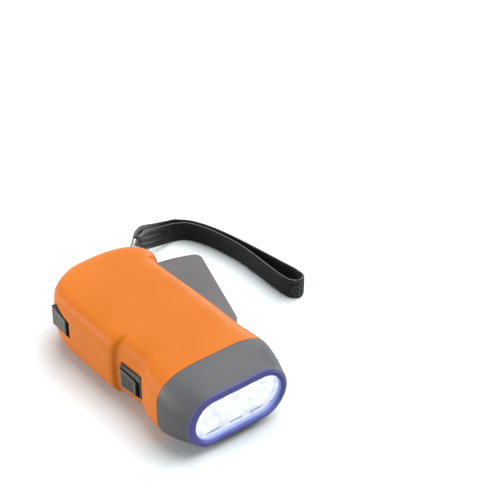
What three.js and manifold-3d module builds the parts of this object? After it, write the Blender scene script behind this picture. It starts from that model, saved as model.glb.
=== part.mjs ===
// Squeeze-lever dynamo torch, lying on its flat underside.
// Millimetres. +Z up, the beam points along -Y, the lever swings out on +X, the switches sit on -X.
import * as THREE from 'three';
import { mergeVertices } from 'three/addons/utils/BufferGeometryUtils.js';
import Module from 'manifold-3d';

const wasm = await Module();
wasm.setup();

// Case: plan outline at mid height, and how the walls round over
const caseHeight = 32;
const wall = 2;
const headHalfWidth = 27.3;
const gripHalfWidth = 27.6;
const neckHalfWidth = 24;
const leverSideHalfWidth = 23.6;
const eyeletHalfWidth = 25.4;
const seamY = -36.3;
const neckFrontY = -22;
const neckRearY = -4.5;
const rearY = 55.2;
const rearRoundStartY = 30;
const headRounding = 3.2;
const gripRounding = 4.2;
const rearRounding = 3.6;
const flatHeightShare = 0.985;

// Head in front of the seam
const lipY = -53.5;
const lipInset = 3.3;
const lipDrop = 3.9;
const lipHalfWidth = headHalfWidth - lipInset;
const lipHalfHeight = caseHeight / 2 - lipDrop;
const lipEdgeRound = 0.9;
const lipFaceWidth = 3.2;
const lipFaceHeight = 3;
const openingHalfWidth = lipHalfWidth - lipFaceWidth;
const openingHalfHeight = lipHalfHeight - lipFaceHeight;
const headWidthPower = 1.8;
const headHeightPower = 1.6;
const headSlotPower = 1.5;
const lipDepth = 2;
const collarLength = 3.2;
const collarWall = 1.6;
const collarGap = 0.7;

// Light
const lensThickness = 1.2;
const lensOverlap = 1;
const reflectorFlangeDepth = 2.4;
const reflectorDepth = 8.4;
const reflectorInsetX = 1;
const reflectorInsetZ = 0.6;
const cupRim = 2.1;
const cupSideRim = 2.8;
const cupMouthRadius = openingHalfHeight - cupRim;
const cupPitch = openingHalfWidth - cupMouthRadius - cupSideRim;
const cupFlare = 0.3;
const cupWaistShare = 0.82;
const cupWaistDepth = 3;
const cupThroatLength = 1.4;
const ledRadius = 2.5;
const ledLength = 5.6;
const ledFlangeRadius = 2.9;
const ledFlangeThickness = 1;
const ledCount = 3;
const boardThickness = 1.2;

// Lever, drawn closed and swung out by openAngle about its pin
const pivotX = 17.5;
const pivotY = -19;
const openAngle = THREE.MathUtils.degToRad(17.5);
const leverReach = 58.3;
const leverFaceX = 27.2;
const leverCover = 9.5;
const leverHeight = caseHeight - 2 * leverCover;
const leverWall = 1.6;
const leverCornerRadius = 4;
const leverInnerX = 5;
const leverHubRadius = 4.3;
const leverShoulderY = 10.5;
const leverNoseY = 5.5;
const leverNoseRound = 3;
const leverHollowNose = 3.6;
const leverInnerRise = 8;
const leverHollowOverrun = 4;
const pivotPinRadius = 1.5;
const slotGap = 0.5;
const slotFront = 1.6;
const slotOuterBearing = THREE.MathUtils.degToRad(25);
const slotInnerBearing = THREE.MathUtils.degToRad(93);
const springHeight = 2.6;
const springWire = 1.2;
const springLegLength = 6;

// Gear train
const gearModule = 0.8;
const gearWidth = 3;
const pinionOverrun = 0.5;
const hubRunGap = 0.5;
const pressureAngle = THREE.MathUtils.degToRad(25);
const backlash = 0.16;
const toothTopShare = 0.8;
const toothRootShare = 1.05;
const sectorFirstTooth = -4;
const sectorToothCount = 6;
const sectorTeeth = 50;
const pinionTeeth = 10;
const firstWheelTeeth = 26;
const ratchetWheelTeeth = 24;
const firstGearBearing = THREE.MathUtils.degToRad(150);
const ratchetGearBearing = THREE.MathUtils.degToRad(120);
const flywheelBearing = THREE.MathUtils.degToRad(80);
const sectorZ = 12;
const firstWheelZ = 15.6;
const ratchetWheelZ = 20;
const axleRadius = 1;
const axleBossRadius = 2.6;
const bossTrim = 0.4;
const statorBossExtra = 2.4;

// Dynamo
const flywheelRadius = 11;
const flywheelThickness = 3.8;
const flywheelZ = 10.9;
const flywheelRecess = 1.2;
const flywheelRim = 2;
const flywheelHubTrim = 1;
const coilGap = 0.8;
const magnetOuterRadius = 9;
const magnetInnerRadius = 6.5;
const magnetHeight = 3.9;
const coilRadius = 5.8;
const statorRadius = 10;
const statorThickness = 1;
const statorZ = 4.4;

// Switches on the side wall
const switchY = -14;
const switchZ = 15.5;
const switchSlant = THREE.MathUtils.degToRad(8);
const switchFrameLength = 12.5;
const switchFrameHeight = 11;
const switchFrameDepth = 4.2;
const switchFrameProud = 0.8;
const switchKnobLength = 9.2;
const switchKnobHeight = 9.2;
const switchKnobTopFall = 2;
const switchKnobDrop = 0.2;
const switchKnobProud = 0.8;
const switchTravel = 1.6;
const switchBodyDepth = 4;
const switchBodyLength = 15;
const switchBodyHeight = 6;
const switchBodyWheelGap = 0.6;
const switchBossRadius = 1.8;
const flangeSpace = 1;
const lockY = 34.1;
const lockZ = 18.5;
const lockPadLength = 10.4;
const lockPadHeight = 9.6;
const lockPadTopFall = 2;
const lockPadDepth = 5.8;
const lockTravel = 2.2;
const lockProud = 0.6;
const lockFlangeReach = 0.6;
const lockArmSize = 3;
const lockArmZ = 16;
const lockToothDrop = 4.5;
const catchSize = 1.5;
const catchReach = 1.4;
const catchGap = 0.5;
const catchOffset = 3.4;
const catchWall = 1.2;
const catchSink = 0.2;
const catchBaseDepth = 1.8;
const catchHeight = 3;
const ribPitch = 1.2;
const ribDepth = 0.35;
const ribMargin = 0.8;
const flangeThickness = 1;
const knobFlangeReach = 1.2;
const stemHalfSize = 1;
const stemReach = 1;

// Cells
const cellRadius = 6;
const cellLength = 16.5;
const cellPlaceShare = 0.348;
const cellX = -gripHalfWidth * cellPlaceShare;
const cellY = 37.5;
const cellZ = 9.6;
const tabThickness = 0.5;
const tabSize = 7;
const cradleInset = 0.6;
const cradleTopDrop = 1.5;

// Fastenings
const screwHeadRadius = 2.4;
const screwHeadHeight = 1.8;
const screwShankRadius = 1.05;
const screwLength = 20;
const screwBossRadius = 3.1;
const screwHeadZ = 4.2;
const screwPlaces = [[-18, -29], [13.5, -30], [-13.5, 50], [9.5, 50]];

// Wrist strap
const postX = 18.6;
const postY = 48.6;
const postRadius = 1;
const postBossWall = 2;
const postTopBossWall = 3;
const eyeletBearing = THREE.MathUtils.degToRad(54);
const eyeletHeight = 5;
const eyeletWidth = 6.4;
const eyeletZ = 22;
const cordRadius = 0.5;
const cordHalfGap = 0.15;
const cordLeadLength = 2.5;
const crimpX = 22.7;
const crimpY = 54.9;
const crimpBearing = THREE.MathUtils.degToRad(45);
const crimpRadius = 1.25;
const crimpLength = 6;
const strapWidth = 10;
const strapThickness = 1.3;
const strapNeckWidth = 3.8;
const strapNeckLength = 15;

// Clearances
const seatGap = 0.3;
const runGap = 0.25;

// Cuts run past the faces they open by this much, and joined solids meet by half of it
const overrun = 1;
const joinDepth = overrun / 2;

// Block that halves the case
const blockHalfX = 60;
const blockHalfY = 80;
const blockBeyondZ = 10;

// Derived places
const midZ = caseHeight / 2;
const pitchRadius = (teeth) => gearModule * teeth / 2;
const along = (from, bearing, distance) => new THREE.Vector2(
  from.x + Math.cos(bearing) * distance,
  from.y + Math.sin(bearing) * distance,
);
const pivot = new THREE.Vector2(pivotX, pivotY);
const firstAxle = along(pivot, firstGearBearing, pitchRadius(sectorTeeth) + pitchRadius(pinionTeeth));
const ratchetAxle = along(
  firstAxle, ratchetGearBearing, pitchRadius(firstWheelTeeth) + pitchRadius(pinionTeeth),
);
const flywheelAxle = along(
  ratchetAxle, flywheelBearing, pitchRadius(ratchetWheelTeeth) + pitchRadius(pinionTeeth),
);

// Materials
const finish = (color, roughness, metalness = 0) => new THREE.MeshStandardMaterial({
  color, roughness, metalness,
});
const orangePlastic = () => finish(0xf07e26, 0.45);
const greyPlastic = () => finish(0x7b7d80, 0.5);
const switchPlastic = () => finish(0x5c5a56, 0.5);
const gearPlastic = () => finish(0xe9e6dc, 0.4);
const steel = () => finish(0xb8bcc0, 0.3, 1);
const nickel = () => finish(0xd0d0cc, 0.25, 1);

const model = new THREE.Group();

// Solids from three.js geometries
function solid(geometry) {
  const bare = geometry.index ? geometry.clone() : geometry;
  bare.deleteAttribute('normal');
  bare.deleteAttribute('uv');
  const merged = mergeVertices(bare, 1e-4);
  return new wasm.Manifold(new wasm.Mesh({
    numProp: 3,
    vertProperties: new Float32Array(merged.attributes.position.array),
    triVerts: new Uint32Array(merged.index.array),
  }));
}

function addPiece(name, shape, material, parent = model) {
  const result = shape.getMesh();
  const geometry = new THREE.BufferGeometry();
  geometry.setAttribute('position', new THREE.BufferAttribute(result.vertProperties, 3));
  geometry.setIndex(new THREE.BufferAttribute(result.triVerts, 1));
  geometry.computeVertexNormals();
  const piece = new THREE.Mesh(geometry, material);
  piece.name = name;
  parent.add(piece);
  return piece;
}

function box(x0, x1, y0, y1, z0, z1) {
  const geometry = new THREE.BoxGeometry(x1 - x0, y1 - y0, z1 - z0);
  return solid(geometry.translate((x0 + x1) / 2, (y0 + y1) / 2, (z0 + z1) / 2));
}

// Upright rod
function rod(x, y, z0, z1, radius, sides = 24) {
  const geometry = new THREE.CylinderGeometry(radius, radius, z1 - z0, sides);
  return solid(geometry.rotateX(Math.PI / 2).translate(x, y, (z0 + z1) / 2));
}

// Rod along X
function rodX(x0, x1, y, z, radius, sides = 24) {
  const geometry = new THREE.CylinderGeometry(radius, radius, x1 - x0, sides);
  return solid(geometry.rotateZ(Math.PI / 2).translate((x0 + x1) / 2, y, z));
}

function prism(shape, z0, z1, curveSegments = 12) {
  const geometry = new THREE.ExtrudeGeometry(shape, {
    depth: z1 - z0, bevelEnabled: false, curveSegments,
  });
  return solid(geometry.translate(0, 0, z0));
}

// Turned piece: profile of [radius, height] points from axis to axis, upright
function turned(profile, sides = 24) {
  const points = profile.map(([radius, height]) => new THREE.Vector2(radius, height));
  return solid(new THREE.LatheGeometry(points, sides).rotateX(Math.PI / 2));
}

// Direction that a flat ring of points faces, its points running anticlockwise about it
function ringNormal(ring) {
  const sum = new THREE.Vector3();
  ring.forEach((point, i) => sum.add(point.clone().cross(ring[(i + 1) % ring.length])));
  return sum.normalize();
}

// Triangles that fill a flat ring, found with the ring laid face up
function capTriangles(ring) {
  const faceUp = new THREE.Quaternion().setFromUnitVectors(ringNormal(ring), new THREE.Vector3(0, 0, 1));
  const laid = ring.map((point) => point.clone().applyQuaternion(faceUp));
  return THREE.ShapeUtils.triangulateShape(laid.map(({ x, y }) => new THREE.Vector2(x, y)), []);
}

// Closed solid through rings of equal point count, capped by its first and last ring
function loft(drawnRings) {
  const travel = drawnRings[1][0].clone().sub(drawnRings[0][0]);
  const facesAhead = ringNormal(drawnRings[0]).dot(travel) > 0;
  const rings = facesAhead ? drawnRings : drawnRings.map((ring) => ring.toReversed());
  const count = rings[0].length;
  const index = [];
  for (let level = 0; level < rings.length - 1; level++) {
    for (let i = 0; i < count; i++) {
      const a = level * count + i;
      const b = level * count + (i + 1) % count;
      index.push(a, b, b + count, a, b + count, a + count);
    }
  }
  const lastStart = (rings.length - 1) * count;
  for (const [a, b, c] of capTriangles(rings[0])) {
    index.push(a, c, b);
  }
  for (const [a, b, c] of capTriangles(rings.at(-1))) {
    index.push(lastStart + a, lastStart + b, lastStart + c);
  }
  const geometry = new THREE.BufferGeometry();
  geometry.setAttribute('position', new THREE.Float32BufferAttribute(
    rings.flat().flatMap((p) => [p.x, p.y, p.z]), 3,
  ));
  geometry.setIndex(index);
  return solid(geometry);
}

// Plan outline at mid height, clockwise from the front left corner to the front right one
const caseOutline = new THREE.SplineCurve([
  [-headHalfWidth, seamY],
  [-headHalfWidth + 0.1, seamY + 5],
  [-headHalfWidth + 1.1, neckFrontY - 4],
  [-neckHalfWidth - 0.8, neckFrontY - 0.4],
  [-neckHalfWidth + 0.5, neckFrontY + 2],
  [-neckHalfWidth + 0.3, neckFrontY + 7],
  [-neckHalfWidth - 0.2, neckRearY - 3],
  [-neckHalfWidth - 0.8, neckRearY - 0.4],
  [-gripHalfWidth + 0.9, neckRearY + 2],
  [-gripHalfWidth + 0.4, neckRearY + 8],
  [-gripHalfWidth, rearRoundStartY - 12],
  [-gripHalfWidth, rearRoundStartY + 2],
  [-gripHalfWidth + 2.2, rearRoundStartY + 11.5],
  [-gripHalfWidth + 6.8, rearY - 6.6],
  [-gripHalfWidth + 16.1, rearY - 1.2],
  [0, rearY],
  [eyeletHalfWidth - 16.4, rearY - 0.4],
  [eyeletHalfWidth - 7.9, rearY - 2.4],
  [eyeletHalfWidth - 2.6, rearY - 6.4],
  [eyeletHalfWidth, rearY - 12.2],
  [eyeletHalfWidth - 0.8, rearY - 17.8],
  [leverSideHalfWidth - 1.5, rearRoundStartY + 3],
  [leverSideHalfWidth - 1.2, rearRoundStartY - 8],
  [leverSideHalfWidth - 0.2, neckRearY + 12],
  [leverSideHalfWidth + 0.6, neckRearY - 6],
  [leverSideHalfWidth + 1.4, neckFrontY],
  [headHalfWidth - 0.6, seamY + 5],
  [headHalfWidth, seamY],
].map(([x, y]) => new THREE.Vector2(x, y)));

// Case walls follow a superellipse in height, rounder at the head and the rear than along the grip
function widthShare(y, height) {
  const { lerp, smoothstep } = THREE.MathUtils;
  const gripPower = lerp(headRounding, gripRounding, smoothstep(y, seamY, neckRearY));
  const power = lerp(gripPower, rearRounding, smoothstep(y, rearRoundStartY, rearY));
  return (1 - Math.abs(height * flatHeightShare) ** power) ** (1 / power);
}

function caseRing(plan, inset, height) {
  return plan.map((point) => {
    const spine = new THREE.Vector2(0, Math.min(point.y, rearRoundStartY));
    const arm = point.clone().sub(spine);
    const length = (arm.length() - inset) * widthShare(point.y, height);
    const at = spine.addScaledVector(arm.normalize(), length);
    return new THREE.Vector3(at.x, at.y, midZ + height * (midZ - inset));
  });
}

function caseSolid(inset, frontY, divisions, steps) {
  const plan = caseOutline.getPoints(divisions);
  plan[0].y = frontY;
  plan.at(-1).y = frontY;
  const heights = Array.from({ length: 2 * steps + 1 }, (_, i) => (
    Math.sin(Math.PI / 2 * (i - steps) / steps)
  ));
  return loft(heights.map((height) => caseRing(plan, inset, height)));
}

const caseBody = caseSolid(0, seamY, 54, 6);
const caseCavity = caseSolid(wall, seamY - wall, 36, 4);

// Superellipse section of the head at one y, with its own half sizes and power
function headRing(y, halfWidth, halfHeight, power, count = 40) {
  return Array.from({ length: count }, (_, i) => {
    const angle = 2 * Math.PI * i / count;
    const x = Math.sign(Math.cos(angle)) * Math.abs(Math.cos(angle)) ** (2 / power);
    const z = Math.sign(Math.sin(angle)) * Math.abs(Math.sin(angle)) ** (2 / power) / flatHeightShare;
    return new THREE.Vector3(halfWidth * x, y, midZ + halfHeight * THREE.MathUtils.clamp(z, -1, 1));
  });
}

// Slot-shaped section at one y, its points in step with those of headRing
function stadiumRing(y, halfWidth, halfHeight, count = 40) {
  const straight = halfWidth - halfHeight;
  return Array.from({ length: count }, (_, i) => {
    const angle = 2 * Math.PI * i / count;
    const side = Math.abs(Math.cos(angle)) < 1e-9 ? 0 : Math.sign(Math.cos(angle));
    return new THREE.Vector3(
      side * straight + halfHeight * Math.cos(angle), y, midZ + halfHeight * Math.sin(angle),
    );
  });
}

function stadiumBlock(y0, y1, halfWidth, halfHeight) {
  return loft([y0, y1].map((y) => stadiumRing(y, halfWidth, halfHeight)));
}

// Moves and turns a solid by a three.js matrix
function moved(shape, matrix) {
  const result = shape.getMesh();
  const geometry = new THREE.BufferGeometry();
  geometry.setAttribute('position', new THREE.BufferAttribute(result.vertProperties, 3));
  geometry.setIndex(new THREE.BufferAttribute(result.triVerts, 1));
  return solid(geometry.applyMatrix4(matrix));
}

// Places of the mechanism, which the case is cut and bossed for
const leverBottomZ = midZ - leverHeight / 2;
const leverTopZ = midZ + leverHeight / 2;
const springZ = leverTopZ + seatGap;
const topPivotBossZ = springZ + springHeight + seatGap;
const pivotPinBottomZ = wall + 2;
const pivotPinTopZ = caseHeight - wall - 3;
const postBottomZ = wall + 6;
const postTopZ = caseHeight - wall - 3;
const axleBottomZ = wall + 1.6;
const axleTopZ = caseHeight - wall - 1.6;
const firstWheelTopZ = firstWheelZ + gearWidth;
const ratchetWheelTopZ = ratchetWheelZ + gearWidth;
const flywheelTopZ = flywheelZ + flywheelThickness;
const screwTipZ = screwHeadZ + screwHeadHeight + screwLength;
const axles = [
  { at: firstAxle, bottomBossZ: sectorZ - pinionOverrun - seatGap, topBossZ: firstWheelTopZ + seatGap },
  { at: ratchetAxle, bottomBossZ: flywheelZ - seatGap, topBossZ: ratchetWheelTopZ + seatGap },
  {
    at: flywheelAxle,
    bottomBossZ: flywheelZ - seatGap,
    topBossZ: ratchetWheelTopZ + pinionOverrun + seatGap,
  },
];
const switchPose = new THREE.Matrix4()
  .makeRotationZ(switchSlant)
  .setPosition(-neckHalfWidth, switchY, switchZ);
const switchFrameBackX = switchFrameDepth - switchFrameProud;
const switchFlangeX = switchFrameBackX + flangeSpace;
const switchBodyX = switchFlangeX + flangeThickness + seatGap;
const switchBodyTopZ = firstWheelZ - switchBodyWheelGap;
const switchBodyBottomZ = switchBodyTopZ - switchBodyHeight;
const lockOuterX = -gripHalfWidth - lockProud;
const lockInnerX = lockOuterX + lockPadDepth;
const lockPose = new THREE.Matrix4().makeTranslation(0, lockY, lockZ);

// Lever slot: a sector about the pivot pin, as high as the lever with a gap
function leverSlot() {
  const shape = new THREE.Shape();
  shape.moveTo(pivotX - leverHubRadius, pivotY - slotFront);
  shape.lineTo(pivotX + leverReach / 2, pivotY - slotFront);
  shape.absarc(pivotX, pivotY, leverReach + slotGap, slotOuterBearing, slotInnerBearing, false);
  return prism(shape, leverBottomZ - slotGap, leverTopZ + slotGap, 40);
}

function switchWindow() {
  const halfLength = switchFrameLength / 2 + runGap;
  const halfHeight = switchFrameHeight / 2 + runGap;
  const halfDepth = switchFlangeX + flangeThickness;
  return moved(box(-halfDepth, halfDepth, -halfLength, halfLength, -halfHeight, halfHeight), switchPose);
}

// Prism whose outline, in y and z, runs between two places along X
function sidePrism(points, x0, x1) {
  const outline = new THREE.Shape(points.map(([y, z]) => new THREE.Vector2(y, z)));
  const geometry = new THREE.ExtrudeGeometry(outline, { depth: x1 - x0, bevelEnabled: false });
  const toSide = new THREE.Matrix4().makeBasis(
    new THREE.Vector3(0, 1, 0), new THREE.Vector3(0, 0, 1), new THREE.Vector3(1, 0, 0),
  );
  return solid(geometry.applyMatrix4(toSide).translate(x0, 0, 0));
}

// Outline of a sliding knob, whose top edge falls towards the front
const knobOutline = (length, height, topFall) => [
  [-length / 2, -height / 2],
  [length / 2, -height / 2],
  [length / 2, height / 2],
  [-length / 2, height / 2 - topFall],
];

// Outline of the slot that such a knob rests at the back of
function knobSlotOutline(length, height, topFall, travel) {
  const front = -length / 2 - travel - runGap;
  const rear = length / 2 + runGap;
  const bottom = -height / 2 - runGap;
  const top = height / 2 + runGap;
  return [
    [front, bottom], [rear, bottom], [rear, top],
    [rear - travel - 2 * runGap, top], [front, top - topFall],
  ];
}

function lockWindow() {
  const outline = knobSlotOutline(lockPadLength, lockPadHeight, lockPadTopFall, lockTravel);
  return moved(sidePrism(outline, lockOuterX - overrun, lockInnerX + overrun), lockPose);
}

// Slot through the rear right corner that bares the strap post
function eyeletCut() {
  const outward = new THREE.Matrix4().makeRotationZ(eyeletBearing).setPosition(postX, postY, eyeletZ);
  const behind = eyeletWidth / 2;
  const cut = box(-behind, 4 * behind, -behind, behind, -eyeletHeight / 2, eyeletHeight / 2);
  return moved(cut, outward);
}

const cutsThroughBothShells = [leverSlot(), switchWindow(), lockWindow(), eyeletCut()];

function shellHalf(limits, posts, holes) {
  let shell = caseBody.subtract(caseCavity);
  for (const post of posts) {
    shell = shell.add(post.intersect(caseBody));
  }
  shell = shell.intersect(limits);
  for (const hole of [...holes, ...cutsThroughBothShells]) {
    shell = shell.subtract(hole);
  }
  return shell;
}

function cellCradle() {
  const halfDepth = cellRadius - cradleInset;
  const block = box(
    cellX - cellLength / 2, cellX + cellLength / 2, cellY - halfDepth, cellY + halfDepth,
    0, cellZ - cradleTopDrop,
  );
  return block.subtract(rodX(cellX - cellLength, cellX + cellLength, cellY, cellZ, cellRadius + seatGap));
}

function bottomShell() {
  const half = box(-blockHalfX, blockHalfX, -blockHalfY, blockHalfY, -blockBeyondZ, midZ);
  const bossRadius = axleBossRadius - bossTrim;
  return shellHalf(half, [
    rod(pivotX, pivotY, 0, leverBottomZ - seatGap, leverHubRadius - bossTrim),
    ...axles.map(({ at, bottomBossZ }) => rod(at.x, at.y, 0, bottomBossZ, bossRadius, 16)),
    rod(flywheelAxle.x, flywheelAxle.y, 0, statorZ - seatGap, bossRadius + statorBossExtra, 16),
    ...screwPlaces.map(([x, y]) => rod(x, y, 0, midZ, screwBossRadius, 16)),
    cellCradle(),
    moved(rod(
      switchBodyX + switchBodyDepth / 2, 0, -switchZ, switchBodyBottomZ - switchZ - seatGap,
      switchBossRadius, 12,
    ), switchPose),
    rod(postX, postY, 0, midZ, postRadius + postBossWall, 16),
  ], [
    rod(pivotX, pivotY, pivotPinBottomZ - seatGap, midZ, pivotPinRadius + runGap, 16),
    ...axles.map(({ at }) => rod(at.x, at.y, axleBottomZ - seatGap, midZ, axleRadius + runGap, 12)),
    ...screwPlaces.map(([x, y]) => rod(x, y, -overrun, midZ + overrun, screwShankRadius + runGap, 12)),
    ...screwPlaces.map(([x, y]) => (
      rod(x, y, -overrun, screwHeadZ + screwHeadHeight, screwHeadRadius + runGap, 16)
    )),
    rod(postX, postY, postBottomZ - seatGap, midZ + overrun, postRadius + runGap, 12),
  ]);
}

function topShell() {
  const blockTopZ = caseHeight + blockBeyondZ;
  const half = box(-blockHalfX, blockHalfX, -blockHalfY, blockHalfY, midZ, blockTopZ);
  const bossRadius = axleBossRadius - bossTrim;
  return shellHalf(half, [
    rod(pivotX, pivotY, topPivotBossZ, caseHeight, leverHubRadius - bossTrim),
    ...axles.map(({ at, topBossZ }) => rod(at.x, at.y, topBossZ, caseHeight, bossRadius, 16)),
    ...screwPlaces.map(([x, y]) => rod(x, y, midZ, caseHeight, screwBossRadius, 16)),
    rod(postX, postY, midZ, caseHeight, postRadius + postTopBossWall, 16),
  ], [
    rod(pivotX, pivotY, topPivotBossZ - overrun, pivotPinTopZ + seatGap, pivotPinRadius + runGap, 16),
    ...axles.map(({ at, topBossZ }) => (
      rod(at.x, at.y, topBossZ - overrun, axleTopZ + seatGap, axleRadius + runGap, 12)
    )),
    ...screwPlaces.map(([x, y]) => (
      rod(x, y, midZ - overrun, screwTipZ + seatGap, screwShankRadius + runGap, 12)
    )),
    rod(postX, postY, midZ - overrun, postTopZ + seatGap, postRadius + runGap, 12),
  ]);
}

addPiece('top_shell', topShell(), orangePlastic());
addPiece('bottom_shell', bottomShell(), orangePlastic());

// Grey head: its section runs from the case's superellipse at the seam to the slot-shaped lip
const collarHalfWidth = headHalfWidth - wall - collarGap;
const collarHalfHeight = midZ - wall - collarGap;
const headCavityHalfWidth = collarHalfWidth - collarWall;
const headCavityHalfHeight = collarHalfHeight - collarWall;
const lensHalfWidth = openingHalfWidth + lensOverlap;
const lensHalfHeight = openingHalfHeight + lensOverlap;
const lensFrontY = lipY + lipDepth + seatGap;
const lensBackY = lensFrontY + lensThickness;
const reflectorFrontY = lensBackY + seatGap;
const reflectorFlangeY = reflectorFrontY + reflectorFlangeDepth;
const reflectorBackY = reflectorFrontY + reflectorDepth;
const reflectorHalfWidth = openingHalfWidth - reflectorInsetX;
const reflectorHalfHeight = openingHalfHeight - reflectorInsetZ;
const ledFlangeY = reflectorBackY + seatGap;
const ledBaseY = ledFlangeY + ledFlangeThickness;
const boardY = ledBaseY + seatGap;

function headOuterRing(y, share, trim) {
  const fullHalfWidth = THREE.MathUtils.lerp(headHalfWidth, lipHalfWidth, share ** headWidthPower) - trim;
  const fullHalfHeight = THREE.MathUtils.lerp(midZ, lipHalfHeight, share ** headHeightPower) - trim;
  const round = headRing(y, fullHalfWidth, fullHalfHeight, headRounding);
  const slot = stadiumRing(y, fullHalfWidth, fullHalfHeight);
  return round.map((point, i) => point.lerp(slot[i], share ** headSlotPower));
}

function head() {
  const depth = seamY - lipY - lipEdgeRound;
  const shares = [0, 0.2, 0.4, 0.6, 0.8, 1];
  const rings = shares.map((share) => headOuterRing(seamY - share * depth, share, 0));
  for (const angle of [Math.PI / 4, Math.PI / 2]) {
    const forward = lipEdgeRound * Math.sin(angle);
    rings.push(headOuterRing(lipY + lipEdgeRound - forward, 1, lipEdgeRound * (1 - Math.cos(angle))));
  }
  const collar = loft([seamY + collarLength, seamY - overrun].map((y) => (
    headRing(y, collarHalfWidth, collarHalfHeight, headRounding)
  )));
  const cavity = loft([seamY + collarLength + overrun, reflectorFlangeY + seatGap].map((y) => (
    headRing(y, headCavityHalfWidth, headCavityHalfHeight, headRounding)
  )));
  const lensSeatY = lipY + lipDepth;
  const lensPocket = stadiumBlock(
    reflectorFlangeY + overrun, lensSeatY, lensHalfWidth + seatGap, lensHalfHeight + seatGap,
  );
  const opening = stadiumBlock(lensSeatY + overrun, lipY - overrun, openingHalfWidth, openingHalfHeight);
  return loft(rings).add(collar).subtract(cavity).subtract(lensPocket).subtract(opening);
}

// Turned piece about an axis along Y: profile of [radius, y], with y falling towards the beam
function turnedAlongBeam(profile, x, sides) {
  const points = profile.map(([radius, y]) => new THREE.Vector2(radius, y));
  return solid(new THREE.LatheGeometry(points, sides).translate(x, 0, midZ));
}

const ledPlaces = Array.from({ length: ledCount }, (_, i) => cupPitch * (i - (ledCount - 1) / 2));

function reflector() {
  let block = stadiumBlock(reflectorFlangeY, reflectorFrontY, lensHalfWidth, lensHalfHeight).add(
    stadiumBlock(reflectorBackY, reflectorFlangeY - overrun, reflectorHalfWidth, reflectorHalfHeight),
  );
  const holeRadius = ledRadius + runGap;
  for (const x of ledPlaces) {
    block = block.subtract(turnedAlongBeam([
      [0, reflectorFrontY - overrun], [cupMouthRadius + cupFlare, reflectorFrontY - overrun],
      [cupMouthRadius, reflectorFrontY],
      [cupMouthRadius * cupWaistShare, reflectorFrontY + cupWaistDepth],
      [holeRadius, reflectorBackY - cupThroatLength],
      [holeRadius, reflectorBackY + overrun], [0, reflectorBackY + overrun],
    ], x, 24));
  }
  return block;
}

function led(x) {
  const tipY = ledFlangeY - ledLength;
  const domeRings = [30, 60, 90].map(THREE.MathUtils.degToRad).map((angle) => (
    [ledRadius * Math.sin(angle), tipY + ledRadius * (1 - Math.cos(angle))]
  ));
  return turnedAlongBeam([
    [0, tipY], ...domeRings, [ledRadius, ledFlangeY],
    [ledFlangeRadius, ledFlangeY], [ledFlangeRadius, ledBaseY], [0, ledBaseY],
  ], x, 16);
}

addPiece('head_bezel', head(), greyPlastic());
addPiece('lens', stadiumBlock(lensBackY, lensFrontY, lensHalfWidth, lensHalfHeight), finish(0xf4f8ff, 0.05));
addPiece('reflector', reflector(), finish(0xe8ebf0, 0.15, 1));
ledPlaces.forEach((x, i) => addPiece(`led_${i + 1}`, led(x), finish(0xfdfdff, 0.1)));
addPiece(
  'led_board',
  stadiumBlock(boardY + boardThickness, boardY, reflectorHalfWidth, reflectorHalfHeight),
  finish(0x2c6b45, 0.5),
);

// Involute flanks: half the angle of a tooth at one radius
function toothHalfAngle(teeth, radius) {
  const pitch = pitchRadius(teeth);
  const base = pitch * Math.cos(pressureAngle);
  const involute = (r) => {
    const angle = Math.acos(Math.min(1, base / r));
    return Math.tan(angle) - angle;
  };
  return Math.PI / (2 * teeth) - backlash / (2 * pitch) + involute(pitch) - involute(radius);
}

function toothPoints(teeth, centreAngle) {
  const pitch = pitchRadius(teeth);
  const radii = [-toothRootShare, 0, toothTopShare].map((share) => pitch + share * gearModule);
  const flank = (radius, side) => {
    const angle = centreAngle + side * toothHalfAngle(teeth, radius);
    return new THREE.Vector2(Math.cos(angle) * radius, Math.sin(angle) * radius);
  };
  return [
    ...radii.map((radius) => flank(radius, -1)),
    ...radii.toReversed().map((radius) => flank(radius, 1)),
  ];
}

function gearWheel(teeth, firstToothAngle, z0, z1) {
  const teethPoints = Array.from({ length: teeth }, (_, i) => (
    toothPoints(teeth, firstToothAngle + 2 * Math.PI * i / teeth)
  ));
  return prism(new THREE.Shape(teethPoints.flat()), z0, z1);
}

// First tooth angle that leaves a gap of the gear facing back along bearing
const gapFacing = (bearing, teeth) => bearing + Math.PI + Math.PI / teeth;

// Lever in its own frame: closed, with the pin at the origin
const faceX = leverFaceX - pivotX;
const innerX = leverInnerX - pivotX;

function rearCorner(shape, face, reach, corner, endX) {
  const centreX = face - corner;
  const centreY = Math.sqrt((reach - corner) ** 2 - centreX ** 2);
  const turn = Math.atan2(centreY, centreX);
  shape.lineTo(face, centreY);
  shape.absarc(centreX, centreY, corner, 0, turn, false);
  shape.absarc(0, 0, reach, turn, Math.acos(endX / reach), false);
}

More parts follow.
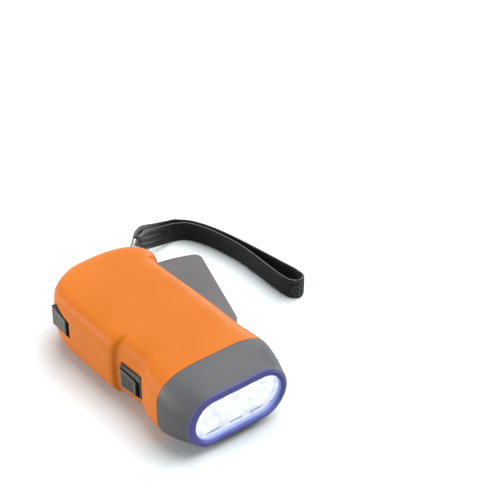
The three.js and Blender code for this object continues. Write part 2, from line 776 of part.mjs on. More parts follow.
function lever() {
  const outline = new THREE.Shape();
  outline.moveTo(-leverHubRadius, 0);
  outline.absarc(0, 0, leverHubRadius, Math.PI, 2 * Math.PI, false);
  outline.quadraticCurveTo(
    faceX - leverNoseRound, leverNoseY - leverNoseRound, faceX - leverWall, leverNoseY,
  );
  outline.quadraticCurveTo(faceX, leverNoseY + leverNoseRound, faceX, leverShoulderY);
  rearCorner(outline, faceX, leverReach, leverCornerRadius, innerX);
  outline.lineTo(innerX, leverShoulderY + leverInnerRise);

  const hollow = new THREE.Shape();
  const hollowFaceX = faceX - leverWall;
  const hollowEndX = innerX - leverHollowOverrun;
  hollow.moveTo(hollowEndX, leverNoseY);
  hollow.lineTo(faceX - leverHollowNose, leverNoseY);
  hollow.quadraticCurveTo(hollowFaceX, leverNoseY + leverNoseRound, hollowFaceX, leverShoulderY);
  rearCorner(hollow, hollowFaceX, leverReach - leverWall, leverCornerRadius - leverWall, hollowEndX);

  const boreRadius = pivotPinRadius + runGap;
  return prism(outline, leverBottomZ, leverTopZ, 12)
    .subtract(prism(hollow, leverBottomZ + leverWall, leverTopZ - leverWall, 12))
    .add(rod(0, 0, leverBottomZ, leverTopZ, leverHubRadius))
    .add(toothedSector())
    .add(lockCatch())
    .subtract(rod(0, 0, leverBottomZ - overrun, leverTopZ + overrun, boreRadius, 16));
}

// Teeth that drive the first gear through the whole swing
function toothedSector() {
  const pitchAngle = 2 * Math.PI / sectorTeeth;
  const teeth = Array.from({ length: sectorToothCount }, (_, i) => (
    toothPoints(sectorTeeth, firstGearBearing + openAngle + (sectorFirstTooth + i) * pitchAngle)
  ));
  const hubDepth = leverHubRadius - overrun;
  const hub = [new THREE.Vector2(-overrun, -hubDepth), new THREE.Vector2(hubDepth, hubDepth)];
  return prism(new THREE.Shape([...teeth.flat(), ...hub]), sectorZ, sectorZ + gearWidth);
}

// Catch on the inner end of the rear wall that the lock hooks
const catchX = innerX - catchOffset;
const catchBaseY = Math.sqrt(leverReach ** 2 - innerX ** 2);

function lockCatch() {
  const top = lockArmZ - overrun;
  const bottom = top - catchHeight;
  const frontY = catchBaseY - catchBaseDepth;
  return box(catchX, innerX + catchWall, frontY, catchBaseY - catchSink, bottom, top)
    .add(box(catchX, catchX + catchSize, frontY, catchBaseY + catchReach, bottom, top));
}

const leverGroup = new THREE.Group();
leverGroup.position.set(pivotX, pivotY, 0);
leverGroup.rotation.z = -openAngle;
model.add(leverGroup);
addPiece('lever', lever(), greyPlastic(), leverGroup);

function ring(x, y, z0, z1, innerRadius, outerRadius, sides = 24) {
  return rod(x, y, z0, z1, outerRadius, sides)
    .subtract(rod(x, y, z0 - overrun, z1 + overrun, innerRadius, sides));
}

function returnSpring() {
  const innerRadius = pivotPinRadius + seatGap;
  const outerRadius = innerRadius + springWire;
  const halfWire = springWire / 2;
  const legEndX = -outerRadius - springLegLength;
  const leg = box(legEndX, -innerRadius, -halfWire, halfWire, springZ, springZ + springWire);
  return ring(0, 0, springZ, springZ + springHeight, innerRadius, outerRadius, 20)
    .add(leg.subtract(rod(0, 0, springZ - overrun, springZ + springHeight, innerRadius, 20)));
}

const spring = addPiece('lever_spring', returnSpring(), steel());
spring.position.set(pivotX, pivotY, 0);
addPiece('lever_pin', rod(pivotX, pivotY, pivotPinBottomZ, pivotPinTopZ, pivotPinRadius, 16), steel());

// Gears in their own frames, each on its axle
function firstGear() {
  const firstTooth = gapFacing(firstGearBearing, pinionTeeth);
  return gearWheel(pinionTeeth, firstTooth, sectorZ - pinionOverrun, firstWheelZ + pinionOverrun)
    .add(gearWheel(firstWheelTeeth, ratchetGearBearing, firstWheelZ, firstWheelTopZ))
    .subtract(rod(0, 0, 0, caseHeight, axleRadius + runGap, 12));
}

function ratchetPinion() {
  const hubRadius = pitchRadius(ratchetWheelTeeth) + pitchRadius(pinionTeeth) - flywheelRadius - hubRunGap;
  const firstTooth = gapFacing(ratchetGearBearing, pinionTeeth);
  return gearWheel(pinionTeeth, firstTooth, firstWheelZ - seatGap, ratchetWheelZ - seatGap)
    .add(rod(0, 0, flywheelZ, firstWheelZ, hubRadius, 16))
    .subtract(rod(0, 0, 0, caseHeight, axleRadius + runGap, 12));
}

function ratchetWheel() {
  return gearWheel(ratchetWheelTeeth, flywheelBearing, ratchetWheelZ, ratchetWheelTopZ)
    .subtract(rod(0, 0, 0, caseHeight, axleRadius + runGap, 12));
}

function flywheel() {
  const hubRadius = pitchRadius(pinionTeeth) - flywheelHubTrim;
  const firstTooth = gapFacing(flywheelBearing, pinionTeeth);
  const recessZ = flywheelTopZ - flywheelRecess;
  const recessRadius = hubRadius + flywheelRecess;
  return rod(0, 0, flywheelZ, flywheelTopZ, flywheelRadius, 40)
    .subtract(ring(0, 0, recessZ, flywheelTopZ + overrun, recessRadius, flywheelRadius - flywheelRim))
    .add(rod(0, 0, flywheelTopZ - overrun, ratchetWheelZ, hubRadius, 16))
    .add(gearWheel(pinionTeeth, firstTooth, ratchetWheelZ - pinionOverrun, ratchetWheelTopZ + pinionOverrun))
    .subtract(rod(0, 0, 0, caseHeight, axleRadius + runGap, 12));
}

function placeOnAxle(name, shape, material, axle) {
  addPiece(name, shape, material).position.set(axle.x, axle.y, 0);
}

placeOnAxle('first_gear', firstGear(), gearPlastic(), firstAxle);
placeOnAxle('ratchet_pinion', ratchetPinion(), gearPlastic(), ratchetAxle);
placeOnAxle('ratchet_wheel', ratchetWheel(), gearPlastic(), ratchetAxle);
placeOnAxle('flywheel', flywheel(), gearPlastic(), flywheelAxle);
placeOnAxle(
  'ring_magnet',
  ring(0, 0, flywheelZ - runGap - magnetHeight, flywheelZ - runGap, magnetInnerRadius, magnetOuterRadius, 32),
  finish(0x4a4c50, 0.4, 0.6), flywheelAxle,
);
placeOnAxle(
  'coil',
  ring(0, 0, statorZ + statorThickness + seatGap, flywheelZ - coilGap, axleBossRadius, coilRadius),
  finish(0xb4622d, 0.35, 0.8), flywheelAxle,
);
placeOnAxle(
  'stator_plate',
  ring(0, 0, statorZ, statorZ + statorThickness, axleBossRadius, statorRadius),
  steel(), flywheelAxle,
);
['first_axle', 'ratchet_axle', 'flywheel_axle'].forEach((name, i) => (
  placeOnAxle(name, rod(0, 0, axleBottomZ, axleTopZ, axleRadius, 12), steel(), axles[i].at)
));

// Sliding knob from its outer face inwards, grooved across its travel
function ribbedKnob(length, height, topFall, outerX, innerX) {
  const grooveCount = Math.floor(length / ribPitch) - 1;
  const grooveTop = height / 2 - topFall - ribMargin / 2;
  let knob = sidePrism(knobOutline(length, height, topFall), outerX, innerX);
  for (let i = 0; i < grooveCount; i++) {
    const y = ribPitch * (i - (grooveCount - 1) / 2);
    knob = knob.subtract(box(
      outerX - overrun, outerX + ribDepth, y - ribPitch / 4, y + ribPitch / 4,
      ribMargin - height / 2, grooveTop,
    ));
  }
  return knob;
}

const switchGroup = new THREE.Group();
switchGroup.position.set(-neckHalfWidth, switchY, switchZ);
switchGroup.rotation.z = switchSlant;
model.add(switchGroup);

// The knob rests at the back of its slot, which is longer by the travel
const knobY = switchTravel / 2;
const stemZ = switchBodyBottomZ + switchBodyHeight / 2 - switchZ;

function switchFrame() {
  const halfLength = switchFrameLength / 2;
  const halfHeight = switchFrameHeight / 2;
  const slot = sidePrism(
    knobSlotOutline(switchKnobLength, switchKnobHeight, switchKnobTopFall, switchTravel),
    -switchFrameProud - overrun, switchFrameBackX + overrun,
  );
  const toKnob = new THREE.Matrix4().makeTranslation(0, knobY, -switchKnobDrop);
  return box(-switchFrameProud, switchFrameBackX, -halfLength, halfLength, -halfHeight, halfHeight)
    .subtract(moved(slot, toKnob));
}

function switchKnob() {
  const halfLength = switchKnobLength / 2 + knobFlangeReach;
  const halfHeight = switchKnobHeight / 2 + knobFlangeReach / 2;
  const stemMiddle = stemZ + switchKnobDrop;
  const faceX = -switchFrameProud - switchKnobProud;
  const flangeX = switchFlangeX + flangeThickness;
  const stemX = switchFlangeX + joinDepth;
  return ribbedKnob(switchKnobLength, switchKnobHeight, switchKnobTopFall, faceX, stemX)
    .add(box(switchFlangeX, flangeX, -halfLength, halfLength, -halfHeight, halfHeight))
    .add(box(
      stemX, switchBodyX + stemReach, -stemHalfSize, stemHalfSize,
      stemMiddle - stemHalfSize, stemMiddle + stemHalfSize,
    ));
}

function switchBody() {
  const halfLength = switchBodyLength / 2;
  const bottom = switchBodyBottomZ - switchZ;
  const slotHalfLength = stemHalfSize + switchTravel / 2 + runGap;
  const slotHalfHeight = stemHalfSize + runGap;
  const stemSlot = box(
    switchBodyX - overrun, switchBodyX + stemReach + seatGap, -slotHalfLength, slotHalfLength,
    stemZ - slotHalfHeight, stemZ + slotHalfHeight,
  );
  const top = bottom + switchBodyHeight;
  return box(switchBodyX, switchBodyX + switchBodyDepth, -halfLength, halfLength, bottom, top)
    .subtract(stemSlot);
}

addPiece('switch_frame', switchFrame(), switchPlastic(), switchGroup);
addPiece('light_switch_knob', switchKnob(), switchPlastic(), switchGroup)
  .position.set(0, knobY, -switchKnobDrop);
addPiece('switch_body', switchBody(), steel(), switchGroup);

// Lever lock: pad in the wall, arm over the cells, tooth that drops behind the lever's catch
const toothX = pivotX + catchX + catchSize + catchGap;
const toothY = pivotY + catchBaseY + lockTravel + catchGap;

function lockSlider() {
  const armTopZ = lockArmZ + lockArmSize;
  const rearY = lockY + lockPadLength / 2;
  const frontY = lockY - lockPadLength / 2 - lockTravel;
  const armY = rearY - lockArmSize;
  const flangeHalfHeight = lockPadHeight / 2 + lockFlangeReach;
  const armEndX = toothX - joinDepth / 2;
  const pad = ribbedKnob(lockPadLength, lockPadHeight, lockPadTopFall, lockOuterX, lockInnerX);
  return moved(pad, lockPose)
    .add(box(
      lockInnerX - joinDepth / 2, lockInnerX + flangeThickness, frontY, rearY,
      lockZ - flangeHalfHeight, lockZ + flangeHalfHeight,
    ))
    .add(box(lockInnerX, armEndX, armY, rearY, lockArmZ, armTopZ))
    .add(box(armEndX - lockArmSize, armEndX, armY, toothY + lockArmSize, lockArmZ, armTopZ))
    .add(box(armEndX - overrun, toothX + lockArmSize, toothY, toothY + lockArmSize, lockArmZ, armTopZ))
    .add(box(toothX, toothX + lockArmSize, toothY, toothY + lockArmSize, lockArmZ - lockToothDrop, armTopZ));
}

addPiece('lever_lock_slider', lockSlider(), switchPlastic());

// Cells lie in the cradle between two contact tabs
const cellFrontX = cellX - cellLength / 2;
const cellBackX = cellX + cellLength / 2;
addPiece('cell_pack', rodX(cellFrontX, cellBackX, cellY, cellZ, cellRadius), finish(0x3f7d4e, 0.45));
[cellFrontX - seatGap - tabThickness, cellBackX + seatGap].forEach((x, i) => {
  const half = tabSize / 2;
  const tab = box(x, x + tabThickness, cellY - half, cellY + half, cellZ - half, cellZ + half);
  addPiece(`cell_tab_${i + 1}`, tab, nickel());
});

screwPlaces.forEach(([x, y], i) => {
  const shankTopZ = screwTipZ;
  const headTopZ = screwHeadZ + screwHeadHeight - seatGap;
  const screw = turned([
    [0, screwHeadZ], [screwHeadRadius, screwHeadZ], [screwHeadRadius, headTopZ],
    [screwShankRadius, headTopZ], [screwShankRadius, shankTopZ], [0, shankTopZ],
  ], 12);
  addPiece(`case_screw_${i + 1}`, screw, steel()).position.set(x, y, 0);
});

addPiece('strap_post', rod(postX, postY, postBottomZ, postTopZ, postRadius, 12), steel());

// Cord loop from the crimp round the post and back
const crimpAxis = new THREE.Vector2(Math.cos(crimpBearing), Math.sin(crimpBearing));
const besideCrimp = (back, side) => new THREE.Vector3(
  crimpX - crimpAxis.x * back - crimpAxis.y * side,
  crimpY - crimpAxis.y * back + crimpAxis.x * side,
  eyeletZ,
);

function cordLoop() {
  const radius = postRadius + seatGap + cordRadius;
  const leaving = Math.atan2(crimpY - postY, crimpX - postX);
  const roundPost = Array.from({ length: 9 }, (_, i) => {
    const bearing = leaving + Math.PI / 2 + Math.PI * i / 8;
    return new THREE.Vector3(postX + Math.cos(bearing) * radius, postY + Math.sin(bearing) * radius, eyeletZ);
  });
  const side = cordRadius + cordHalfGap;
  const leadSide = side + cordHalfGap;
  const route = new THREE.CatmullRomCurve3([
    besideCrimp(seatGap, side), besideCrimp(cordLeadLength, leadSide),
    ...roundPost,
    besideCrimp(cordLeadLength, -leadSide), besideCrimp(seatGap, -side),
  ]);
  const section = new THREE.Shape().absarc(0, 0, cordRadius, 0, 2 * Math.PI, false);
  return solid(new THREE.ExtrudeGeometry(section, {
    steps: 26, extrudePath: route, bevelEnabled: false, curveSegments: 4,
  }));
}

addPiece('strap_cord', cordLoop(), finish(0x2a2a2c, 0.8));
const crimp = addPiece('strap_crimp', rodX(0, crimpLength, 0, 0, crimpRadius, 16), steel());
crimp.position.set(crimpX, crimpY, eyeletZ);
crimp.rotation.z = crimpBearing;

// Webbing band on edge: out along the far layer, round the fold and back along the near one.
// Route points are x, y and the height of the lower edge.
const strapRoute = new THREE.CatmullRomCurve3([
  [26.8, 59.6, 20.1], [29.7, 62.9, 15.8], [33.8, 66.5, 11.7], [39.2, 69.9, 8.5], [45.9, 72.5, 5.5],
  [52.9, 74.7, 2.8], [59.6, 75.9, 0.8], [64.9, 73.6, 0.1], [68.5, 68, 0.1], [71.7, 59.5, 0.1],
  [74.3, 49.4, 0.1], [76.4, 39.2, 0.1], [78.4, 28, 0.1], [79.9, 18.7, 0.1], [81.1, 10.5, 0.1],
  [80.6, 5.6, 0.1], [77.3, 3.9, 0.1], [74.3, 6.2, 0.1],
  [73.2, 11, 0.1], [73, 18.9, 0.1], [73.1, 28.5, 0.1], [73, 39.5, 0.1], [71.9, 49, 0.1],
  [69.8, 58.8, 0.1], [66.8, 66.9, 0.1], [63.2, 72.2, 0.1], [58.2, 73.9, 0.4], [52, 72.9, 1.9],
  [45.8, 71, 4.1], [39.6, 68.2, 6.9], [34.8, 64.6, 10], [31.2, 61.4, 14.2], [27.9, 58.4, 20.2],
].map(([x, y, z]) => new THREE.Vector3(x, y, z)));

// The band is drawn together where the crimp holds its ends
function strapWidthAt(endDistance) {
  const widening = Math.sin(Math.PI / 2 * Math.min(endDistance / strapNeckLength, 1));
  return THREE.MathUtils.lerp(strapNeckWidth, strapWidth, widening);
}

function strapBand() {
  const length = strapRoute.getLength();
  const steps = 84;
  return loft(Array.from({ length: steps + 1 }, (_, i) => {
    const share = i / steps;
    const at = strapRoute.getPointAt(share);
    const tangent = strapRoute.getTangentAt(share);
    const across = new THREE.Vector3(-tangent.y, tangent.x, 0).setLength(strapThickness / 2);
    const width = strapWidthAt(length * Math.min(share, 1 - share));
    const up = new THREE.Vector3(0, 0, 1).addScaledVector(tangent, -tangent.z).setLength(width);
    const near = at.clone().sub(across);
    const far = at.clone().add(across);
    return [near, far, far.clone().add(up), near.clone().add(up)];
  }));
}

addPiece('strap_webbing', strapBand(), finish(0x1c1c1e, 0.9));

export default model;
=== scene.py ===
import math

import bmesh
import bpy
import numpy as np
from mathutils import Matrix, Vector
from mathutils.bvhtree import BVHTree
from mathutils.interpolate import poly_3d_calc


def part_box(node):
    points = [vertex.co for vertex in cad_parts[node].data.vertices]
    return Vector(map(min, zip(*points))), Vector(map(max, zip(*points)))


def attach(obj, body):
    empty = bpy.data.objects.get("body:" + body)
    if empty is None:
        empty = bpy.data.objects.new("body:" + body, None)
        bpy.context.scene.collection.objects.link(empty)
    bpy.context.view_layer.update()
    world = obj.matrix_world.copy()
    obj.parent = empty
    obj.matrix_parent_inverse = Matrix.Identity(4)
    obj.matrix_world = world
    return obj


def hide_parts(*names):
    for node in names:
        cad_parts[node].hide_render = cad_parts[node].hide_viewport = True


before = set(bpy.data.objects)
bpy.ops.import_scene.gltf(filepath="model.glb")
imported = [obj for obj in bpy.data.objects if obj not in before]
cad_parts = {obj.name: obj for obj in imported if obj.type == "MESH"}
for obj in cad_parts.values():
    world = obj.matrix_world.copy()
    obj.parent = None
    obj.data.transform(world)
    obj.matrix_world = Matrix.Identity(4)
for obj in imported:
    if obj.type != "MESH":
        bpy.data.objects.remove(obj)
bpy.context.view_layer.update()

scene = bpy.context.scene
mm = 0.001  # every size below is in millimetres and becomes metres where a mesh is made
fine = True


view = {
    "position": (-255.494, -390.635, 387.204),
    "aim": (82.492, 46.746, 0.0),
    "lens": 103.73,
    "sensor": 36.0,
}


def setUpCamera():
    lens = bpy.data.cameras.new("view")
    lens.lens = view["lens"]
    lens.sensor_width = view["sensor"]
    lens.clip_end = 10
    camera = bpy.data.objects.new("view", lens)
    place = Vector(view["position"]) * mm
    camera.location = place
    camera.rotation_euler = (Vector(view["aim"]) * mm - place).to_track_quat("-Z", "Y").to_euler()
    scene.collection.objects.link(camera)
    scene.camera = camera
    print("camera set")


setUpCamera()


class Wire:
    # a shader socket that takes part in plain Python sums
    def __init__(self, finish, socket):
        self.finish, self.socket = finish, socket

    def maths(self, operation, *values):
        return self.finish.add("ShaderNodeMath", {"operation": operation}, dict(enumerate(values)))

    def other(self, name):
        return Wire(self.finish, self.socket.node.outputs[name])

    def __add__(self, value):
        return self.maths("ADD", self, value)

    def __radd__(self, value):
        return self.maths("ADD", value, self)

    def __sub__(self, value):
        return self.maths("SUBTRACT", self, value)

    def __rsub__(self, value):
        return self.maths("SUBTRACT", value, self)

    def __mul__(self, value):
        return self.maths("MULTIPLY", self, value)

    def __rmul__(self, value):
        return self.maths("MULTIPLY", value, self)

    def __pow__(self, value):
        return self.maths("POWER", self, value)

    def __abs__(self):
        return self.maths("ABSOLUTE", self)

    def sine(self):
        return self.maths("SINE", self)

    def atLeast(self, value):
        return self.maths("MAXIMUM", self, value)

    def atMost(self, value):
        return self.maths("MINIMUM", self, value)


class Finish:
    # one material: its principled shader, and one method for every other node
    def __init__(self, name, **sockets):
        self.material = bpy.data.materials.new(name)
        self.material.use_nodes = True
        self.tree = self.material.node_tree
        self.tree.nodes.clear()
        end = self.tree.nodes.new("ShaderNodeOutputMaterial")
        self.shader = self.tree.nodes.new("ShaderNodeBsdfPrincipled")
        self.tree.links.new(self.shader.outputs[0], end.inputs["Surface"])
        self.put(**sockets)

    def set(self, node, socket, value):
        plug = node.inputs[socket]
        if isinstance(value, Wire):
            self.tree.links.new(value.socket, plug)
        elif plug.type == "RGBA":
            plug.default_value = (*value, 1)
        else:
            plug.default_value = value

    def add(self, kind, settings=None, inputs=None, output=0):
        node = self.tree.nodes.new(kind)
        for key, value in (settings or {}).items():
            setattr(node, key, value)
        for socket, value in (inputs or {}).items():
            self.set(node, socket, value)
        return Wire(self, node.outputs[output])

    def put(self, **sockets):
        for socket, value in sockets.items():
            self.set(self.shader, socket.replace("_", " "), value)

    def colour(self):
        # what feeds the base colour so far
        return Wire(self, self.shader.inputs["Base Color"].links[0].from_socket)

    def place(self):
        return self.add("ShaderNodeTexCoord", output="Object")

    def upward(self):
        # 1 where the surface faces up, 0 where it stands upright
        return self.split(self.add("ShaderNodeNewGeometry", output="Normal"))[2]

    def weave(self):
        return self.split(self.add("ShaderNodeAttribute", {"attribute_name": "weave"}, output="Vector"))

    def split(self, vector=None):
        x = self.add("ShaderNodeSeparateXYZ", inputs={0: vector or self.place()})
        return x, x.other("Y"), x.other("Z")

    def noise(self, scale, detail=2.0, vector=None, roughness=0.5):
        return self.add("ShaderNodeTexNoise", inputs={
            "Vector": vector or self.place(), "Scale": scale, "Detail": detail, "Roughness": roughness,
        })

    def stretch(self, value, low, high, toLow=0.0, toHigh=1.0):
        return self.add("ShaderNodeMapRange", {"interpolation_type": "SMOOTHSTEP"}, {
            "Value": value, "From Min": low, "From Max": high, "To Min": toLow, "To Max": toHigh,
        })

    def fade(self, value, low, high, start=0.0):
        # between two places in millimetres, counted from start
        return self.stretch(value, (start + low) * mm, (start + high) * mm)

    def tint(self, factor, first, second):
        settings = {"data_type": "RGBA", "clamp_factor": True}
        return self.add("ShaderNodeMix", settings, {0: factor, 6: first, 7: second}, 2)

    def bump(self, height, distance, strength=1.0, over=None):
        inputs = {"Height": height, "Distance": distance * mm, "Strength": strength}
        if over:
            inputs["Normal"] = over
        return self.add("ShaderNodeBump", inputs=inputs)


def scaled(shade, factor, lift=0.0):
    return tuple(min(1, c * factor + lift) for c in shade)


def mouldedPlastic(name, shade, roughness, grain=0.012, mottle=0.05, wear=0.45, gloss=0.2):
    # satin ABS: spark-eroded grain, faint flow mottling, handled edges a little smoother
    finish = Finish(name, Specular_IOR_Level=gloss)
    grainNoise = finish.noise(5200, 3)
    smudge = finish.noise(150, 4, roughness=0.65)
    lighter = scaled(shade, 1 + 1.2 * mottle, 0.004)
    flow = finish.stretch(finish.noise(38), 0.3, 0.7)
    base = finish.tint(flow, scaled(shade, 1 - 1.6 * mottle), lighter)
    # pointiness is 0.5 where the surface is flat, and more along outer edges
    rub = finish.stretch(finish.add("ShaderNodeNewGeometry", output="Pointiness"), 0.52, 0.62)
    base = finish.tint(rub * wear, base, lighter)
    speck = finish.stretch(finish.noise(900, 1), 0.72, 0.8)
    base = finish.tint(speck * 0.12, base, scaled(shade, 0.5))
    rough = roughness + 0.10 * (smudge - 0.5) + 0.05 * (grainNoise - 0.5) - 0.18 * wear * rub
    bumped = finish.bump(finish.noise(420), 0.02, 0.25, finish.bump(grainNoise, grain, 0.55))
    finish.put(Base_Color=base, Roughness=rough, Normal=bumped)
    return finish


def metal(name, shade, roughness, brushed=(1, 1, 1), dull=0.25):
    finish = Finish(name, Metallic=1.0)
    drawn = finish.add("ShaderNodeVectorMath", {"operation": "MULTIPLY"}, {0: finish.place(), 1: brushed})
    lines = finish.noise(1500, 3, drawn)
    stain = finish.noise(300, 3)
    base = finish.tint(finish.stretch(stain, 0.35, 0.75), shade, scaled(shade, 1 - dull))
    rough = roughness + 0.18 * (lines - 0.5) + 0.12 * (stain - 0.5)
    finish.put(Base_Color=base, Roughness=rough, Normal=finish.bump(lines, 0.01, 0.4))
    return finish


def paintCrestShade(finish):
    # painted shade: the rounded shoulder is painted a deeper, darker orange than the top, and the sides
    # half as much, by the way the surface faces
    facing = finish.upward()
    crestShade = finish.stretch(facing, 0.15, 0.5, 0.5, 1.0) * finish.stretch(facing, 0.97, 0.7)
    finish.put(Base_Color=finish.tint(crestShade * 0.8, finish.colour(), (0.470, 0.110, 0.002)))


finishes = {
    "case": mouldedPlastic("orangeCase", (0.498, 0.138, 0.018), 0.42, mottle=0.02, wear=0.0, gloss=0.1),
    # near-black orange for the cut walls of the switch openings: painted shade
    "caseRecessShade": mouldedPlastic("orangeRecessShade", (0.045, 0.008, 0.003), 0.7, mottle=0.02, wear=0.0),
    "lever": mouldedPlastic("leverGrey", (0.126, 0.123, 0.126), 0.44, mottle=0.03, wear=0.2),
    "knob": mouldedPlastic("knobGrey", (0.112, 0.101, 0.086), 0.42),
    "lock": mouldedPlastic("lockGrey", (0.092, 0.084, 0.072), 0.44),
    "frame": mouldedPlastic("frameGrey", (0.068, 0.058, 0.048), 0.45),
    # near-black for slot walls and the parts seen through them: painted shade
    "slot": mouldedPlastic("slotPaintedShade", (0.006, 0.006, 0.006), 0.7, wear=0.0),
    "steel": metal("axleSteel", (0.62, 0.63, 0.65), 0.24, (1, 1, 0.15)),
    "crimp": metal("crimpSilver", (0.34, 0.33, 0.31), 0.34, (0.3, 0.3, 1), dull=0.35),
}
# painted shade on the case's rounded shoulder
paintCrestShade(finishes["case"])


def paintSideShade(finish, at, slant, depth):
    # painted shade: a sliding pad is painted darker from its outer face inwards, in its grooves too
    x, y, z = finish.split()
    inward = (x - at[0] * mm) * math.cos(slant) + (y - at[1] * mm) * math.sin(slant)
    sideShade = finish.fade(inward, depth + 0.1, depth + 0.5)
    finish.put(Base_Color=finish.tint(sideShade * 0.85, finish.colour(), (0.016, 0.015, 0.013)))


headPlastic = {
    "shade": (0.086, 0.088, 0.091),
    # painted shade for the head's sides and underside
    "sides": (0.055, 0.056, 0.058),
    "roughness": 0.44,
    # painted light: the lamp's violet and blue spill on the lip and in its recess, deep blue where it falls
    # in shade
    "lip": (0.064, 0.054, 0.262),
    "lipRight": (0.034, 0.034, 0.230),
    "lipRightOuter": (0.135, 0.130, 0.240),
    "lipLow": (0.150, 0.185, 0.540),
    "recess": (0.48, 0.57, 1.0),
    "recessFront": (0.130, 0.165, 0.480),
    # where each colour fades in, from none to full: outwards from the opening's edge,
    # backwards from the lip, or along x or z
    "lipOut": (4.4, 1.6),
    "lipBack": (2.9, 0.7),
    "rightX": (12.0, 20.0),
    "rightOut": (1.1, 2.2),
    "lowZ": (12.0, 5.5),
    "lowOut": (2.0, 0.5),
    "withinOut": (0.35, 0.02),
    "seatBack": (1.7, 1.95),
    "seatOut": (1.8, 1.4),
    "deepBack": (0.4, 2.1),
}


def headFinish():
    # grey plastic, painted violet round the light and pale blue inside its recess: painted light from the
    # lamp, with deep blue painted shade on the right
    tone = headPlastic
    finish = mouldedPlastic("headGrey", tone["shade"], tone["roughness"], mottle=0.03, wear=0.25)
    # painted shade: the grey is painted darker where the head faces sideways and down
    grey = finish.tint(finish.stretch(finish.upward(), 0.7, 0.1) * 0.8, finish.colour(), tone["sides"])
    x, y, z = finish.split()
    lipY = head["lipY"]
    halfWidth, halfHeight = head["openingHalf"]
    sideways = (abs(x) - (halfWidth - halfHeight) * mm).atLeast(0)
    outward = (sideways ** 2 + (z - midZ * mm) ** 2) ** 0.5 - halfHeight * mm
    # painted light round the lip: violet, deep blue on the right, a pale blue band low down
    patchy = 0.75 + 0.4 * finish.noise(190, 3)
    right = finish.fade(x, *tone["rightX"])
    violet = finish.tint(right, tone["lip"], tone["lipRight"])
    violet = finish.tint(right * finish.fade(outward, *tone["rightOut"]), violet, tone["lipRightOuter"])
    low = finish.fade(z, *tone["lowZ"]) * finish.fade(outward, *tone["lowOut"])
    violet = finish.tint(low * patchy, violet, tone["lipLow"])
    lip = finish.fade(outward, *tone["lipOut"]) * finish.fade(y, *tone["lipBack"], lipY)
    shade = finish.tint(lip * patchy.atMost(1), grey, violet)
    # painted light: pale blue glow inside the opening, and on the seat that shows through the lens, deeper
    # blue towards the front
    seat = finish.fade(y, *tone["seatBack"], lipY) * finish.fade(outward, *tone["seatOut"])
    within = (finish.fade(outward, *tone["withinOut"]) + seat).atMost(1)
    deep = finish.fade(y + 0.5 * mm * patchy, *tone["deepBack"], lipY)
    recess = finish.tint(deep, tone["recessFront"], tone["recess"])
    finish.put(Base_Color=finish.tint(within, shade, recess))
    return finish


def lensFinish():
    finish = Finish("lensClear", Transmission_Weight=1.0, IOR=1.3, Base_Color=(0.97, 0.985, 1.0))
    swirl = finish.noise(160)
    finish.put(Roughness=0.015 + 0.04 * swirl, Normal=finish.bump(swirl, 0.02, 0.3))
    return finish


def reflectorFinish():
    # painted light: plated cups that glow with depth as if lit by the LEDs, soft domes, and thin dark marks
    # near the lower rim
    finish = Finish("reflectorPaintedGlow", Metallic=0.3, Emission_Strength=1.0, Base_Color=(0.20, 0.22, 0.27))
    x, y, z = finish.split()
    depth = finish.fade(y, 0.05, 1.1, light["reflectorFrontY"])
    ripple = finish.noise(430, 3)
    glow = finish.tint(depth, (0.80, 0.83, 0.88), (0.86, 0.88, 0.90))
    glow = finish.tint(finish.stretch(ripple, 0.60, 0.66) * 0.7, glow, (0.42, 0.45, 0.50))
    domes = finish.add("ShaderNodeTexVoronoi", {}, {
        "Vector": finish.place(), "Scale": 200.0, "Randomness": 0.45,
    })
    glow = finish.tint(finish.stretch(domes, 0.40, 0.72) * 0.6, glow, (0.56, 0.59, 0.63))
    broken = finish.stretch((x * 620 + 3 * ripple).sine(), -0.5, -0.1)
    dash = finish.fade(abs(z - light["marksZ"] * mm), 0.55, 0.2) * broken
    glow = finish.tint(dash * 0.8, glow, (0.08, 0.10, 0.24))
    finish.put(Emission_Color=glow, Roughness=0.15 + 0.2 * ripple)
    return finish


def ledFinish():
    finish = Finish("ledGlow", Emission_Strength=1.15, Base_Color=(0.6, 0.62, 0.7))
    speckle = finish.noise(700)
    glow = finish.tint(finish.stretch(speckle, 0.3, 0.8), (1.0, 1.0, 1.0), (0.86, 0.9, 1.0))
    finish.put(Emission_Color=glow, Roughness=0.1 + 0.1 * speckle)
    return finish


def boardFinish():
    # glass cloth under green lacquer, with paler tracks
    finish = Finish("boardGreen", Specular_IOR_Level=0.5)
    x, y, z = finish.split()
    glass = finish.add("ShaderNodeTexBrick", {}, {
        "Vector": finish.place(), "Scale": 900.0, "Color1": (0.02, 0.16, 0.05),
        "Color2": (0.02, 0.13, 0.045), "Mortar": (0.03, 0.2, 0.07), "Mortar Size": 0.05,
    })
    track = finish.stretch((z * 2400).sine(), 0.86, 0.93)
    finish.put(Base_Color=finish.tint(track * 0.6, glass, (0.35, 0.42, 0.2)), Roughness=0.35 + 0.1 * track)
    return finish


def windingFinish():
    # enamelled copper wire lying in turns
    finish = Finish("copperWinding", Metallic=0.9, Coat_Weight=0.4)
    x, y, z = finish.split()
    turns = (z * (math.tau / (0.35 * mm))).sine()
    base = finish.tint(finish.stretch(turns, -0.9, 0.6), (0.18, 0.05, 0.02), (0.72, 0.28, 0.10))
    finish.put(Base_Color=base, Roughness=0.28 + 0.1 * finish.noise(800), Normal=finish.bump(turns, 0.05))
    return finish


def sleeveFinish():
    # shrink sleeve on the cells: glossy film, fine wrinkles, a lighter band near each end
    finish = Finish("cellSleeve", Coat_Weight=0.5, Coat_Roughness=0.12)
    x, y, z = finish.split()
    wrinkle = finish.noise(260, 4)
    band = finish.stretch((x * 900).sine(), 0.9, 0.95)
    base = finish.tint(finish.stretch(wrinkle, 0.35, 0.7), (0.035, 0.16, 0.055), (0.05, 0.24, 0.08))
    base = finish.tint(band * 0.4, base, (0.6, 0.65, 0.6))
    finish.put(Base_Color=base, Roughness=0.3 + 0.15 * wrinkle, Normal=finish.bump(wrinkle, 0.04, 0.5))
    return finish


